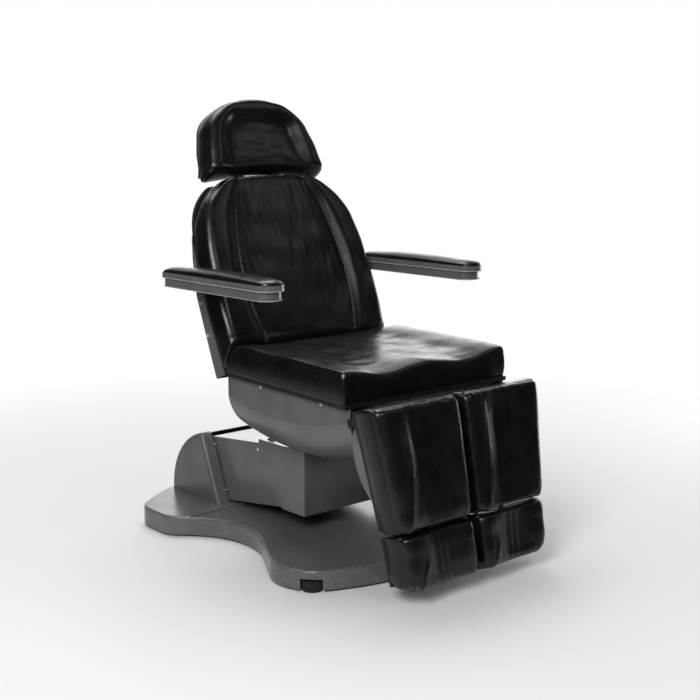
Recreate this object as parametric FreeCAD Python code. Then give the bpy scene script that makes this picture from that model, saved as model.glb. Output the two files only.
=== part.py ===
import FreeCAD, Part
import math
import os

os.makedirs("parts", exist_ok=True)

# Fits and clearances
running_gap = 0.05
face_gap = 0.3
overrun = 20.0

# Base, seen from above. A corner is a share of the half width, one of the length, and how much
# of the shorter run beside it its arc takes up
base_width = 772.0
base_length = 1010.0
base_rear = 583.0
base_front = base_rear - base_length
plan_corner_shares = (
    (0.0, -0.066, 0.688),
    (1.147, 0.120, 0.306),
    (0.517, 0.537, 0.786),
    (1.0, 0.703, 0.210),
    (1.0, 0.850, 0.319),
    (0.0, 1.112, 0.776),
)
skirt_clearance = 6.0
front_cover_top = 58.0
rear_cover_step = 3.0
cover_wall = 3.0
cover_edge_radius = 7.0
cover_split = 240.0
split_gap = 0.4
foot_height = 30.0
foot_radius = 32.0
foot_taper = 4.0
foot_notch_gap = 5.0
foot_place_shares = ((0.863, 0.112), (0.803, 0.842))
frame_inset = 28.0
frame_plate = 5.0
rail_offset = 148.0
rail_width = 40.0
rail_wall = 3.0
rail_end_inset = 97.0
rail_front = base_front + rail_end_inset
rail_rear = 470.0

# Ears of the rear cover and the tower plates that stand in them
ear_inner = 171.0
ear_width = 39.0
ear_front = 279.0
ear_lean = 22.5
ear_centre_y = 330.0
ear_centre_z = 72.0
ear_radius = 197.0
ear_corner_radius = 16.0
ear_dome_radius = 12.0
rear_wall_top = 249.0
tower_plate = 7.0
tower_inset = 1.0

# Screws that show
screw_radius = 5.0
screw_height = 1.6
split_screw_places = ((144.0, 0.0), (263.0, 0.0))
split_screw_back = 9.0

# Mains inlet and control box
inlet_width = 48.0
inlet_height = 26.0
inlet_depth = 34.0
inlet_stand_out = 3.0
inlet_low = 18.0
inlet_recess = 16.0
pin_radius = 2.4
pin_pitch = 14.0
box_length = 110.0
box_width = 76.0
box_height = 20.0
box_centre_x = 255.0
box_centre_y = 350.0
box_edge = 4.0

# Lift arm, lower link and their shafts
arm_pivot_y = 400.0
arm_pivot_z = 175.0
arm_length = 420.0
arm_rise = 7.0
link_drop = 65.0
arm_inner = 118.0
arm_width = 32.0
arm_end_radius = 25.0
arm_wall = 4.0
arm_shaft_radius = 12.0
link_inner = 76.0
link_width = 16.0
link_end_radius = 15.0
link_shaft_radius = 10.0
link_tube_wall = 4.0
shaft_end = 1.0
cross_box = 24.0
cross_box_place = 105.0

# Lift arm cover
arm_cover_half = 165.0
sheet = 2.0
arm_cover_hidden = 8.0
arm_cover_rear_low = 67.0
arm_cover_rear_top = 249.0
arm_cover_low_back = 30.9
arm_cover_low_drop = 120.2
arm_cover_top_back = 8.9
arm_cover_top_height = 59.8
arm_cover_bend = 3.0
arm_screw_places = ((351.0, 229.0), (297.0, 97.0), (137.0, 252.0))
top_bolt_y = 158.0
top_bolt_x = 98.0
top_bolt_radius = 8.0
top_bolt_height = 16.0
top_washer_radius = 14.0
top_washer = 3.0

# Carriage. It and all that it carries are drawn round its arm pivot at this place
carriage_pivot_y = -16.87
carriage_pivot_z = 226.18
carriage_half = 175.0
carriage_front = -86.0
carriage_top = 288.0
carriage_low = 104.0
carriage_radius = 207.0
carriage_bend = 3.0
carriage_plate_inner = 100.0
carriage_plate = 12.0
carriage_boss = 26.0
carriage_cross = 5.0
carriage_cross_low = 150.0
carriage_cross_high = 280.0
neck_y = -48.0
neck_z = 298.0
neck_radius = 18.0

# Seat tilt pivot and the seat's own dimensions
tilt_y = 70.0
tilt_z = 330.0
tilt_pin_radius = 10.0
tilt_lug_inner = 114.0
tilt_lug = 10.0
seat_width = 600.0
seat_front = -396.0
seat_front_low = 488.6
seat_length = 507.0
seat_height = 77.0
seat_pitch = 1.6
seat_rear_bevel = 45.0
seat_bevel_share = 0.2
seat_board = 11.0
seat_board_proud = 3.0
seat_board_rear = 105.0
board_inset = 5.0

# Seat cushion rings: x as shares of the half width, heights as shares of the cushion height
seat_station_shares = (0.0, 0.018, 0.10, 0.30, 0.62, 0.90, 1.0)
seat_bolster_shares = (0.93, 1.05, 1.07, 1.07, 1.06, 1.03, 0.99)
seat_hollow_shares = (0.78, 0.85, 0.87, 0.86, 0.86, 0.92, 0.93)
seat_centre_shares = (0.90, 1.00, 0.98, 0.89, 0.87, 0.93, 0.94)

# Bowl under the seat
bowl_inset = 18.0
bowl_half = seat_width / 2 - bowl_inset
bowl_rear = 115.0
bowl_front = -400.0
bowl_wall = 4.0
crease_low = 401.0
crease_low_y = -125.0
crease_rise = 42.3
crease_reach = 275.0
belly_mid_inset = 52.0
belly_foot_inset = 110.0
belly_mid_drop = 86.0
belly_foot_drop = 108.5
belly_keel_drop = 107.0
bowl_opening_half = 128.0
bowl_opening_front = -118.0
bowl_screw_places = ((-36.0, 479.0), (-289.0, 474.0))

# Seat frame
seat_plate_inset = 70.0
seat_plate_inner = bowl_half - seat_plate_inset
seat_plate = 8.0
seat_plate_depth = 42.0
seat_cross_radius = 12.0
seat_cross_wall = 2.5
seat_cross_places = (-230.0, -80.0, 0.0)
seat_cross_drop = 13.0
lug_radius = 12.0

# Backrest: the lean and the point where its front plane starts
back_lean = 22.6
back_y = 85.0
back_z = 580.0
back_foam = 60.0
back_board = 12.0
back_low = -66.0
back_bevel = 62.0
back_bevel_share = 0.2
back_station_shares = (0.0, 0.02, 0.10, 0.30, 0.52, 0.72, 0.85, 0.935, 0.975, 1.0)
back_height = 499.0
back_narrower = 1.0
back_half_width = seat_width / 2 - back_narrower
back_width_shares = (0.945, 0.975, 0.985, 1.0, 0.99, 0.955, 0.88, 0.75, 0.64, 0.53)
back_panel_shares = (0.585, 0.585, 0.59, 0.66, 0.68, 0.63, 0.57, 0.50, 0.47, 0.42)
back_bolster_shares = (0.90, 1.0, 1.06, 1.10, 1.10, 1.08, 1.05, 1.02, 0.97, 0.80)
back_panel_depth_shares = (0.86, 0.94, 0.96, 0.95, 0.95, 0.97, 0.98, 0.98, 0.93, 0.76)

# Backrest hinge and frame, in the backrest's own plane: depth behind the front, height up it
back_hinge_depth = 85.0
back_hinge_up = -60.0
back_tube_radius = 12.5
back_pin_radius = 8.0
back_plate_gap = 2.0
back_plate = 8.0
back_plate_width = 30.0
back_plate_top = 190.0
back_shell_inset = 12.0
back_shell_half = back_half_width - back_shell_inset
back_shell_wall = 3.5
back_shell_low = -68.0
back_shell_top = 345.0
back_shell_corner_depth = 124.0
back_shell_mid_up = 175.0
back_shell_mid_depth = 122.0
back_shell_upper_up = 280.0
back_shell_upper_depth = 96.0
back_shell_edge = 14.0
back_screw_places = ((55.0, 104.0), (150.0, 100.0))
post_offset = 62.0
post_radius = 7.0
post_low = 330.0
post_wall = 3.0
spine_half = 82.0
spine_thick = 5.0
spine_notch = 262.0
post_socket_low = 322.0
post_socket_top = 440.0
post_depth = 84.0
post_hinge_up = 515.0

# Headrest
strap_half = 74.0
strap_thick = 4.0
strap_up = 501.5
strap_front = 34.0
strap_rear = 90.0
head_hinge_radius = 6.0
head_low = 507.0
head_gap = 8.0
head_front_depth = -8.0
head_foam = 71.0
head_board = 12.0
head_half_width = 217.0
head_height = 227.0
head_undercut = 14.0
head_arch_rise = 16.0
arch_half = 230.0
arch_drop = 20.6
head_station_shares = (0.0, 0.04, 0.18, 0.38, 0.55, 0.72, 0.86, 0.94, 0.98, 1.0)
head_width_shares = (0.985, 1.0, 0.965, 0.93, 0.88, 0.815, 0.675, 0.54, 0.43, 0.30)
head_dish_shares = (0.72, 0.72, 0.72, 0.72, 0.72, 0.70, 0.62, 0.58, 0.55, 0.50)
head_rim_shares = (0.86, 1.0, 1.05, 1.06, 1.06, 1.05, 1.04, 1.02, 0.95, 0.80)
head_floor_shares = (0.80, 0.86, 0.76, 0.72, 0.72, 0.78, 1.00, 1.01, 0.94, 0.78)
head_lug_width = 18.0
head_lug_radius = 12.0

# Armrests
arm_outward = 64.5
arm_centre_x = seat_width / 2 + arm_outward
arm_full_width = 82.4
arm_tip = -219.0
arm_rear = 254.0
arm_body_low = 735.0
arm_ledge_low = 761.0
arm_pad_low = 776.0
arm_pad_top = 795.0
arm_pad_crown = 5.0
arm_pad_arch = 9.0
arm_body_inset = 5.0
arm_tip_radius = 36.0
arm_rear_radius = 13.0
arm_axle_depth = 84.5
arm_axle_up = 215.0
arm_axle_radius = 9.0
arm_axle_tube = 12.0
arm_bar_width = 34.0
arm_bar_height = 16.0
arm_bar_front = -150.0
arm_pad_draw = 3.0

# Leg rest: the top front edge, and its angle below the horizontal
leg_y = -518.2
leg_z = 502.9
leg_drop_angle = 79.1
leg_foam = 82.0
leg_board = 10.0
leg_length = 315.0
foot_length = 146.0
leg_foot_gap = 7.5
leg_inner = 6.0
leg_wider = 4.8
leg_taper = 36.9
foot_step = 1.9
foot_taper_in = 11.7
leg_outer_top = seat_width / 2 + leg_wider
leg_outer_low = leg_outer_top - leg_taper
foot_outer_top = leg_outer_low - foot_step
foot_outer_low = foot_outer_top - foot_taper_in
leg_hinge_y = -414.0
leg_hinge_z = 474.0
leg_tube_radius = 11.0
leg_pin_radius = 7.0
leg_bar_up = 24.0
leg_bar_low = 46.0
leg_bar_depth = 22.0
leg_gusset = 10.0
leg_gusset_shares = (0.328, 0.623)
leg_bar_split = 22.0
swivel_inset = 19.8
swivel_x = leg_outer_top - swivel_inset
swivel_along = 35.0
swivel_radius = 8.0
rail_plate = 4.0
rail_plate_edge = 18.0
rail_plate_rim = 3.0
guide_place_shares = (0.355, 0.728)
guide_radius = 9.0
guide_rod_radius = 6.5
guide_depth = 12.0
guide_top = 62.0
guide_end_inset = 25.0
rod_reach = 185.0
foot_block_start = 25.0
foot_block_length = 90.0
leg_shell_top = 52.0
leg_shell_end_inset = 63.0
leg_shell_low = leg_length - leg_shell_end_inset
leg_shell_inset = 19.0
leg_shell_wall = 3.0
leg_shell_shoulder = 23.0
leg_shell_belly = 44.0
leg_shell_belly_along = (leg_shell_top + leg_shell_low) / 2
leg_shell_edge = 6.0
leg_station_shares = (0.0, 0.03, 0.16, 0.45, 0.80, 0.975, 1.0)
leg_side_shares = (0.97, 1.0, 1.04, 1.05, 1.045, 0.99, 0.92)
leg_hollow_shares = (0.89, 0.91, 0.85, 0.82, 0.85, 0.92, 0.88)
leg_bolster_share = 0.30
foot_station_shares = (0.0, 0.05, 0.40, 0.75, 0.92, 1.0)
foot_side_shares = (0.94, 1.0, 1.04, 1.03, 0.98, 0.85)
foot_hollow_shares = (0.88, 0.89, 0.84, 0.86, 0.91, 0.80)
foot_draw_shares = (1.0, 1.0, 1.0, 1.0, 0.93, 0.82)

# Linear actuators: rear pin, front pin on the lever, and how the eye sits round that pin
actuator_eye = 15.0
actuator_eye_width = 20.0
actuator_pin = 8.0
gearbox_start = 18.0
hub_neck = 8.0
gearbox_length = 52.0
gearbox_width = 52.0
gearbox_height = 40.0
actuator_tube = 19.0
actuator_rod = 8.0
can_radius = 20.0
can_offset = 36.0
can_length = 100.0
lever_gap = 1.5
lever_plate = 8.0
lever_radius = 12.0
lift_motor_y = 370.0
lift_motor_z = 85.0
lift_pin_place = 250.0
tilt_motor_x = 45.0
tilt_motor_y = -56.0
tilt_motor_z = 165.0
tilt_pin_y = -60.0
tilt_pin_z = 425.0
back_motor_y = -230.0
back_motor_z = 400.0
back_motor_x = -64.0
back_lever_y = 0.0
back_lever_z = -50.0
back_eye_along = -3.3
back_eye_across = -5.0
leg_motor_y = -100.0
leg_motor_z = 385.0
leg_motor_x = 0.0
leg_lever_y = 10.0
leg_lever_z = -48.0
leg_eye_along = 1.5
leg_eye_across = 6.6
lift_eye_along = 1.15
lift_eye_across = -2.2
lift_slack = 3.2
tilt_slack = 1.0
back_slack = 7.0
leg_slack = 7.6

# How far each tube's end stays from the eye, and how far the rod reaches into it
tube_ends = {"lift": 40.0, "tilt": 40.0, "back": 165.0, "leg": 46.0}
tube_inside = {"lift": 100.0, "tilt": 80.0, "back": 80.0, "leg": 120.0}


# Plain shapes

def vec(x, y, z):
    return FreeCAD.Vector(x, y, z)


def block(x0, x1, y0, y1, z0, z1):
    return Part.makeBox(x1 - x0, y1 - y0, z1 - z0, vec(x0, y0, z0))


def rod(start, end, radius):
    line = end - start
    return Part.makeCylinder(radius, line.Length, start, line)


def cross_rod(y, z, radius, x0, x1):
    return rod(vec(x0, y, z), vec(x1, y, z), radius)


def mirrored(shape):
    return shape.mirror(vec(0, 0, 0), vec(1, 0, 0))


def both(shape):
    return [shape, mirrored(shape)]


def joined(shapes):
    whole = shapes[0].multiFuse(shapes[1:]).removeSplitter()
    return whole.Solids[0] if len(whole.Solids) == 1 else whole


def prism(points, x0, x1):
    """A side view of y and z points, carried across from x0 to x1."""
    ring = [vec(x0, y, z) for y, z in points]
    face = Part.Face(Part.makePolygon(ring + ring[:1]))
    return face.extrude(vec(x1 - x0, 0, 0))


def rounded_wire(corners, at):
    """A closed outline of straight runs with a tangent arc at each corner of x, y, radius."""
    edges = []
    arcs = []
    count = len(corners)
    for i in range(count):
        x, y, radius = corners[i]
        here = vec(x, y, 0)
        back = vec(corners[i - 1][0], corners[i - 1][1], 0) - here
        ahead = vec(corners[(i + 1) % count][0], corners[(i + 1) % count][1], 0) - here
        back.normalize()
        ahead.normalize()
        half = back.getAngle(ahead) / 2
        reach = radius / math.tan(half)
        middle = (back + ahead).normalize() * (radius / math.sin(half) - radius)
        arcs.append((here + back * reach, here + middle, here + ahead * reach))
    for i in range(count):
        a, b, c = [at(p) for p in arcs[i]]
        edges.append(Part.Arc(a, b, c).toShape())
        start = at(arcs[(i + 1) % count][0])
        if (start - c).Length > running_gap:
            edges.append(Part.makeLine(c, start))
    return Part.Wire(edges)


def stadium(start, end, radius, x0, x1):
    """A bar with round ends, seen from the side."""
    line = vec(0, end[0] - start[0], end[1] - start[1])
    side = vec(0, -line.z, line.y).normalize() * radius
    a = vec(x0, start[0], start[1])
    b = vec(x0, end[0], end[1])
    tip = vec(0, line.y, line.z).normalize() * radius
    edges = [
        Part.makeLine(a + side, b + side),
        Part.Arc(b + side, b + tip, b - side).toShape(),
        Part.makeLine(b - side, a - side),
        Part.Arc(a - side, a - tip, a + side).toShape(),
    ]
    return Part.Face(Part.Wire(edges)).extrude(vec(x1 - x0, 0, 0))


def leaned(shape, y, z, lean):
    """Moves a shape drawn upright at the origin to y and z, leaning its top to the rear."""
    placed = shape.copy()
    turn = FreeCAD.Rotation(vec(1, 0, 0), -lean)
    placed.Placement = FreeCAD.Placement(vec(0, y, z), turn).multiply(placed.Placement)
    return placed


def lean_point(depth, up, y, z, lean):
    """Where a point of a leaning part lies: depth behind its front, height up its plane."""
    s = math.sin(math.radians(lean))
    c = math.cos(math.radians(lean))
    return (y + depth * c + up * s, z - depth * s + up * c)


def fillet_where(shape, radius, test):
    edges = [e for e in shape.Edges if test(e)]
    return shape.makeFillet(radius, edges) if edges else shape


def flat_edge(edge, level):
    box = edge.BoundBox
    return abs(box.ZMin - level) < running_gap and abs(box.ZMax - level) < running_gap


# Cushions: a loft through rings of arcs

def cushion_ring(outer, inner, foot, side, bolster, hollow, bolster_share, at):
    """One cross-section. It runs over a bolster at each side and the hollow between them."""
    width = outer - inner
    reach = width * bolster_share
    edge = side * 0.86
    left = [
        (inner + foot, 0.0),
        (inner, edge * 0.5),
        (inner + foot * 0.6, edge),
        (inner + reach * 0.45, bolster),
        (inner + reach, (bolster + hollow) / 2),
        (inner + reach * 1.35, hollow + (bolster - hollow) * 0.08),
        (inner + reach * 1.65, hollow),
    ]
    right = [(outer + inner - x, w) for x, w in reversed(left)]
    middle = ((inner + outer) / 2, hollow - (bolster - hollow) * 0.06)
    return ring_wire(left + [middle] + right, at)


def ring_wire(points, at):
    """Arcs through each three points in turn, closed by a straight base."""
    edges = []
    for i in range(0, len(points) - 2, 2):
        a, b, c = [at(p) for p in points[i:i + 3]]
        edges.append(Part.Arc(a, b, c).toShape())
    edges.append(Part.makeLine(at(points[-1]), at(points[0])))
    return Part.Wire(edges)


def lofted(rings):
    return Part.makeLoft(rings, True, False).Solids[0]


# Base

def plan_corners():
    half = base_width / 2
    right = [(x * half, base_front + y * base_length, r) for x, y, r in plan_corner_shares]
    ring = right + [(-x, y, r) for x, y, r in reversed(right[1:-1])]
    corners = []
    for i, (x, y, share) in enumerate(ring):
        here = vec(x, y, 0)
        back = vec(ring[i - 1][0], ring[i - 1][1], 0) - here
        ahead = vec(ring[(i + 1) % len(ring)][0], ring[(i + 1) % len(ring)][1], 0) - here
        reach = share * min(back.Length, ahead.Length)
        corners.append((x, y, reach * math.tan(back.getAngle(ahead) / 2)))
    return corners


def plan_face(inset, z):
    wire = rounded_wire(plan_corners(), lambda p: vec(p.x, p.y, z))
    if inset:
        wire = wire.makeOffset2D(-inset)
    return Part.Face(wire)


def base_tray(top, inner_top):
    outer = plan_face(0, skirt_clearance).extrude(vec(0, 0, top - skirt_clearance))
    outer = fillet_where(outer, cover_edge_radius, lambda e: flat_edge(e, top))
    low = skirt_clearance - overrun
    inner = plan_face(cover_wall, low).extrude(vec(0, 0, inner_top - low))
    tray = outer.cut(inner)
    for x, y in foot_places():
        notch = foot_radius + foot_notch_gap
        tray = tray.cut(rod(vec(x, y, low), vec(x, y, foot_height + foot_notch_gap), notch))
    return tray


def foot_places():
    half = base_width / 2
    places = [(x * half, base_front + y * base_length) for x, y in foot_place_shares]
    return places + [(-x, y) for x, y in places]


def inner_cover_top():
    return front_cover_top - cover_wall


def base_half(y0, y1):
    wide = base_width / 2 + overrun
    return block(-wide, wide, y0, y1, -overrun, base_length)


def front_base_cover():
    tray = base_tray(front_cover_top, inner_cover_top())
    front = base_half(base_front - overrun, cover_split - split_gap / 2)
    return tray.common(front)


def ear_profile(inset, low, x0, x1):
    """The ear seen from the side: a round back with a straight leaning front."""
    tilt = math.tan(math.radians(ear_lean))
    shift = inset / math.cos(math.radians(ear_lean))
    top = ear_centre_z + ear_radius + overrun
    rear = ear_centre_y + ear_radius + overrun

    def front(z):
        return ear_front + shift + (z - front_cover_top - rear_cover_step) * tilt

    wedge = prism([(front(low), low), (front(top), top), (rear, top), (rear, low)], x0, x1)
    disc = cross_rod(ear_centre_y, ear_centre_z, ear_radius - inset, x0, x1)
    under = block(x0, x1, front(low), ear_centre_y + ear_radius - inset, low, ear_centre_z)
    return disc.fuse(under).removeSplitter().common(wedge)


def ear_top_edge(edge):
    box = edge.BoundBox
    across = box.XLength > ear_width - running_gap and box.YLength < running_gap
    return across and box.ZMin > ear_centre_z + ear_radius / 2


def rear_base_cover():
    top = front_cover_top + rear_cover_step
    tray = base_tray(top, inner_cover_top())
    rear = base_half(cover_split + split_gap / 2, base_front + base_length + overrun)
    tray = tray.common(rear)
    outer = ear_inner + ear_width
    ear = ear_profile(0, inner_cover_top(), ear_inner, outer)
    ear = fillet_where(ear, ear_corner_radius, ear_top_edge)
    ear = fillet_where(ear, ear_dome_radius, lambda e: ear_rim_edge(e, outer, top))
    low = skirt_clearance - overrun
    hollow = ear_profile(cover_wall, low, ear_inner, outer - cover_wall)
    inside = ear_dome_radius - cover_wall
    hollow = fillet_where(hollow, inside, lambda e: ear_rim_edge(e, outer - cover_wall, top))
    cover = joined([tray] + both(ear) + [wall_between_ears()])
    for shape in both(hollow) + [inlet_block(face_gap)]:
        cover = cover.cut(shape)
    return max(cover.Solids, key=lambda s: s.Volume)


def wall_between_ears():
    """The rear wall, which follows the ears' round back from one ear to the other."""
    rear = ear_centre_y + ear_radius
    disc = cross_rod(ear_centre_y, ear_centre_z, ear_radius, -ear_inner, ear_inner)
    inside = cross_rod(ear_centre_y, ear_centre_z, ear_radius - cover_wall, -ear_inner, ear_inner)
    bend = disc.cut(inside).common(block(-ear_inner, ear_inner, ear_centre_y, rear, ear_centre_z,
                                         rear_wall_top))
    foot = block(-ear_inner, ear_inner, rear - cover_wall, rear, inner_cover_top(), ear_centre_z)
    return bend.fuse(foot)


def ear_rim_edge(edge, outer, top):
    box = edge.BoundBox
    flat = abs(box.XMin - outer) < running_gap and abs(box.XMax - outer) < running_gap
    return flat and box.ZMax > top + cover_wall


def inlet_block(grow):
    half = inlet_width / 2 + grow
    face = base_front + base_length + inlet_stand_out
    return block(-half, half, face - inlet_depth - grow, face + grow,
                 inlet_low - grow, inlet_low + inlet_height + grow)


def power_inlet():
    body = inlet_block(0)
    face = base_front + base_length + inlet_stand_out
    edge = cover_wall
    body = body.cut(block(-inlet_width / 2 + edge, inlet_width / 2 - edge, face - inlet_recess,
                          face + overrun, inlet_low + edge, inlet_low + inlet_height - edge))
    middle = inlet_low + inlet_height / 2
    pins = []
    for i in (-1, 0, 1):
        start = vec(i * pin_pitch, face - inlet_recess, middle)
        pins.append(rod(start, vec(i * pin_pitch, face - edge, middle), pin_radius))
    return joined([body] + pins)


def control_box():
    low = foot_height + frame_plate
    x0 = box_centre_x - box_width / 2
    y0 = box_centre_y - box_length / 2
    body = block(x0, x0 + box_width, y0, y0 + box_length, low, low + box_height)
    return fillet_where(body, box_edge, lambda e: flat_edge(e, low + box_height))


def base_rail():
    low = foot_height + frame_plate
    high = inner_cover_top()
    x0 = rail_offset - rail_width / 2
    x1 = rail_offset + rail_width / 2
    bar = block(x0, x1, rail_front, rail_rear, low, high)
    return bar.cut(block(x0 + rail_wall, x1 - rail_wall, rail_front - overrun,
                         rail_rear + overrun, low, high - rail_wall))


def tower():
    low = foot_height + frame_plate
    x0 = ear_inner + face_gap
    plate = ear_profile(cover_wall + tower_inset, low, x0, x0 + tower_plate)
    return plate


def base_frame():
    plate = plan_face(frame_inset, foot_height).extrude(vec(0, 0, frame_plate))
    plate = plate.cut(inlet_block(cover_wall))
    shapes = [plate] + both(base_rail()) + both(tower())
    frame = joined(shapes)
    span = ear_inner + ear_width
    for y, z, radius in tower_axes():
        frame = frame.cut(cross_rod(y, z, radius + running_gap, -span, span))
    return frame


def tower_axes():
    return (
        (arm_pivot_y, arm_pivot_z, arm_shaft_radius),
        (arm_pivot_y, arm_pivot_z - link_drop, link_shaft_radius),
        (lift_motor_y, lift_motor_z, actuator_pin),
    )


def tower_shafts():
    end = ear_inner + face_gap + tower_plate + shaft_end
    shafts = [cross_rod(y, z, radius, -end, end) for y, z, radius in tower_axes()]
    return Part.makeCompound(shafts)


def levelling_feet():
    feet = []
    for x, y in foot_places():
        foot = Part.makeCone(foot_radius - foot_taper, foot_radius, foot_height, vec(x, y, 0))
        feet.append(foot)
    return Part.makeCompound(feet)


def screw_head(centre, outward):
    """A low pan head with a socket, seated on a face."""
    head = Part.makeCylinder(screw_radius, screw_height, centre, outward)
    socket = Part.makeCylinder(screw_radius / 2, screw_height / 2,
                               centre + outward * (screw_height / 2), outward)
    return head.cut(socket)


def base_cover_screws():
    top = front_cover_top + rear_cover_step
    y = cover_split + split_screw_back
    heads = []
    for x, step in split_screw_places:
        head = screw_head(vec(x, y + step, top), vec(0, 0, 1))
        heads += both(head)
    return Part.makeCompound(heads)


# Lift arm

def arm_front():
    rise = math.radians(arm_rise)
    return (arm_pivot_y - arm_length * math.cos(rise), arm_pivot_z + arm_length * math.sin(rise))


def along_arm(distance):
    rise = math.radians(arm_rise)
    return (arm_pivot_y - distance * math.cos(rise), arm_pivot_z + distance * math.sin(rise))


def lift_arm_frame():
    rear = (arm_pivot_y, arm_pivot_z)
    x1 = arm_inner + arm_width
    arm = stadium(rear, arm_front(), arm_end_radius, arm_inner, x1)
    hollow = stadium(along_arm(arm_end_radius * 2), along_arm(arm_length - arm_end_radius * 2),
                     arm_end_radius - arm_wall, arm_inner + arm_wall, x1 - arm_wall)
    arm = arm.cut(hollow)
    for y, z in (rear, arm_front()):
        arm = arm.cut(cross_rod(y, z, arm_shaft_radius + running_gap, arm_inner - overrun,
                                x1 + overrun))
    pin_y, pin_z = along_arm(lift_pin_place)
    pin = cross_rod(pin_y, pin_z, actuator_pin, -arm_inner, arm_inner)
    box_y, box_z = along_arm(cross_box_place)
    half = cross_box / 2
    bar = block(-arm_inner, arm_inner, box_y - half, box_y + half, box_z - half, box_z + half)
    bar = bar.cut(block(-arm_inner, arm_inner, box_y - half + arm_wall, box_y + half - arm_wall,
                        box_z - half + arm_wall, box_z + half - arm_wall))
    tabs = both(cover_tab())
    return joined(both(arm) + [pin, bar] + tabs)


def cover_tab():
    """A bracket that reaches from the arm to the inside of its cover."""
    y, z = along_arm(cross_box_place)
    half = cross_box / 2
    x0 = arm_inner + arm_width
    return block(x0, arm_cover_half - sheet, y - half, y + half, z - half, z + half)


def cover_side(shift):
    """The arm cover's side view: shift lowers its top by the sheet's thickness."""
    tilt = math.tan(math.radians(ear_lean))
    base = front_cover_top + rear_cover_step
    y, z = arm_front()

    def rear(z):
        return ear_front + arm_cover_hidden + (z - base) * tilt

    return [
        (rear(arm_cover_rear_low) + shift * 4, arm_cover_rear_low - shift * 4),
        (y + arm_cover_low_back - shift * 4, z - arm_cover_low_drop - shift * 4),
        (y + arm_cover_top_back - shift * 4, z + arm_cover_top_height - shift),
        (rear(arm_cover_rear_top) + shift * 4, arm_cover_rear_top - shift),
    ]


def lift_arm_cover():
    half = arm_cover_half
    outer = prism(cover_side(0), -half, half)
    outer = fillet_where(outer, arm_cover_bend, arm_bend_edge)
    inner = prism(cover_side(sheet), -half + sheet, half - sheet)
    cover = outer.cut(inner)
    for x, y in ((top_bolt_x, top_bolt_y),):
        hole = rod(vec(x, y, arm_pivot_z), vec(x, y, arm_front()[1] + arm_cover_top_height + overrun),
                   top_bolt_radius / 2)
        cover = cover.cut(hole).cut(mirrored(hole))
    return cover


def arm_bend_edge(edge):
    box = edge.BoundBox
    long_side = box.XLength < running_gap and box.YLength > arm_length / 2
    return long_side and box.ZMin > arm_cover_rear_top - overrun


def arm_top_level(y):
    tilt = math.tan(math.radians(ear_lean))
    rear = ear_front + arm_cover_hidden
    rear += (arm_cover_rear_top - front_cover_top - rear_cover_step) * tilt
    front_y, front_z = arm_front()
    share = (rear - y) / (rear - front_y - arm_cover_top_back)
    return arm_cover_rear_top + share * (front_z + arm_cover_top_height - arm_cover_rear_top)


def arm_cover_screws():
    heads = []
    for y, z in arm_screw_places:
        heads += both(screw_head(vec(arm_cover_half, y, z), vec(1, 0, 0)))
    level = arm_top_level(top_bolt_y)
    rear_level = arm_top_level(top_bolt_y + top_washer_radius)
    slope = math.degrees(math.atan2(level - rear_level, top_washer_radius))
    up = vec(0, math.sin(math.radians(slope)), math.cos(math.radians(slope)))
    foot = vec(top_bolt_x, top_bolt_y, level)
    washer = Part.makeCylinder(top_washer_radius, top_washer, foot, up)
    nut = hexagon(top_bolt_radius * 1.5, top_bolt_height / 2, foot + up * top_washer, up)
    stud = Part.makeCylinder(top_bolt_radius / 2, top_bolt_height + top_washer, foot, up)
    bolt = joined([washer, nut, stud])
    return Part.makeCompound(heads + both(bolt))


def hexagon(radius, height, foot, up):
    ring = [vec(radius * math.cos(math.radians(60 * i)), radius * math.sin(math.radians(60 * i)), 0)
            for i in range(6)]
    nut = Part.Face(Part.makePolygon(ring + ring[:1])).extrude(vec(0, 0, height))
    nut.Placement = FreeCAD.Placement(foot, FreeCAD.Rotation(vec(0, 0, 1), up))
    return nut


def lower_link():
    rear = (arm_pivot_y, arm_pivot_z - link_drop)
    front = (arm_front()[0], arm_front()[1] - link_drop)
    x1 = link_inner + link_width
    bar = stadium(rear, front, link_end_radius, link_inner, x1)
    sleeves = []
    for y, z in (rear, front):
        sleeves.append(cross_rod(y, z, link_shaft_radius + link_tube_wall, -link_inner, link_inner))
    link = joined(both(bar) + sleeves)
    for y, z in (rear, front):
        link = link.cut(cross_rod(y, z, link_shaft_radius + running_gap, -x1 - overrun,
                                  x1 + overrun))
    return link


# Carriage, and from here on all that it carries

def carried(shape):
    """Moves a shape by the way from the place it is drawn round to the arm's front pivot."""
    y, z = arm_front()
    moved = shape.copy()
    moved.translate(vec(0, y - carriage_pivot_y, z - carriage_pivot_z))
    return moved


def carriage_side(x0, x1, grow):
    """A quarter disc, cut level at the foot of the front panel."""
    front = carriage_front - grow
    top = carriage_top + grow
    low = carriage_low - grow
    centre = (carriage_front, carriage_top)
    disc = cross_rod(centre[0], centre[1], carriage_radius + grow, x0, x1)
    span = carriage_radius + overrun
    return disc.common(block(x0, x1, front, front + span, low, top)).Solids[0]


def carriage_cover():
    half = carriage_half
    outer = carriage_side(-half, half, 0)
    outer = fillet_where(outer, carriage_bend, carriage_bend_edge)
    span = carriage_radius + overrun
    inner = block(-half + sheet, half - sheet, carriage_front + sheet, carriage_front + span,
                  carriage_low - overrun, carriage_top + overrun)
    return outer.cut(inner)


def carriage_bend_edge(edge):
    box = edge.BoundBox
    upright = box.YLength < running_gap and box.XLength < running_gap
    return upright and abs(box.YMin - carriage_front) < running_gap


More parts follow.
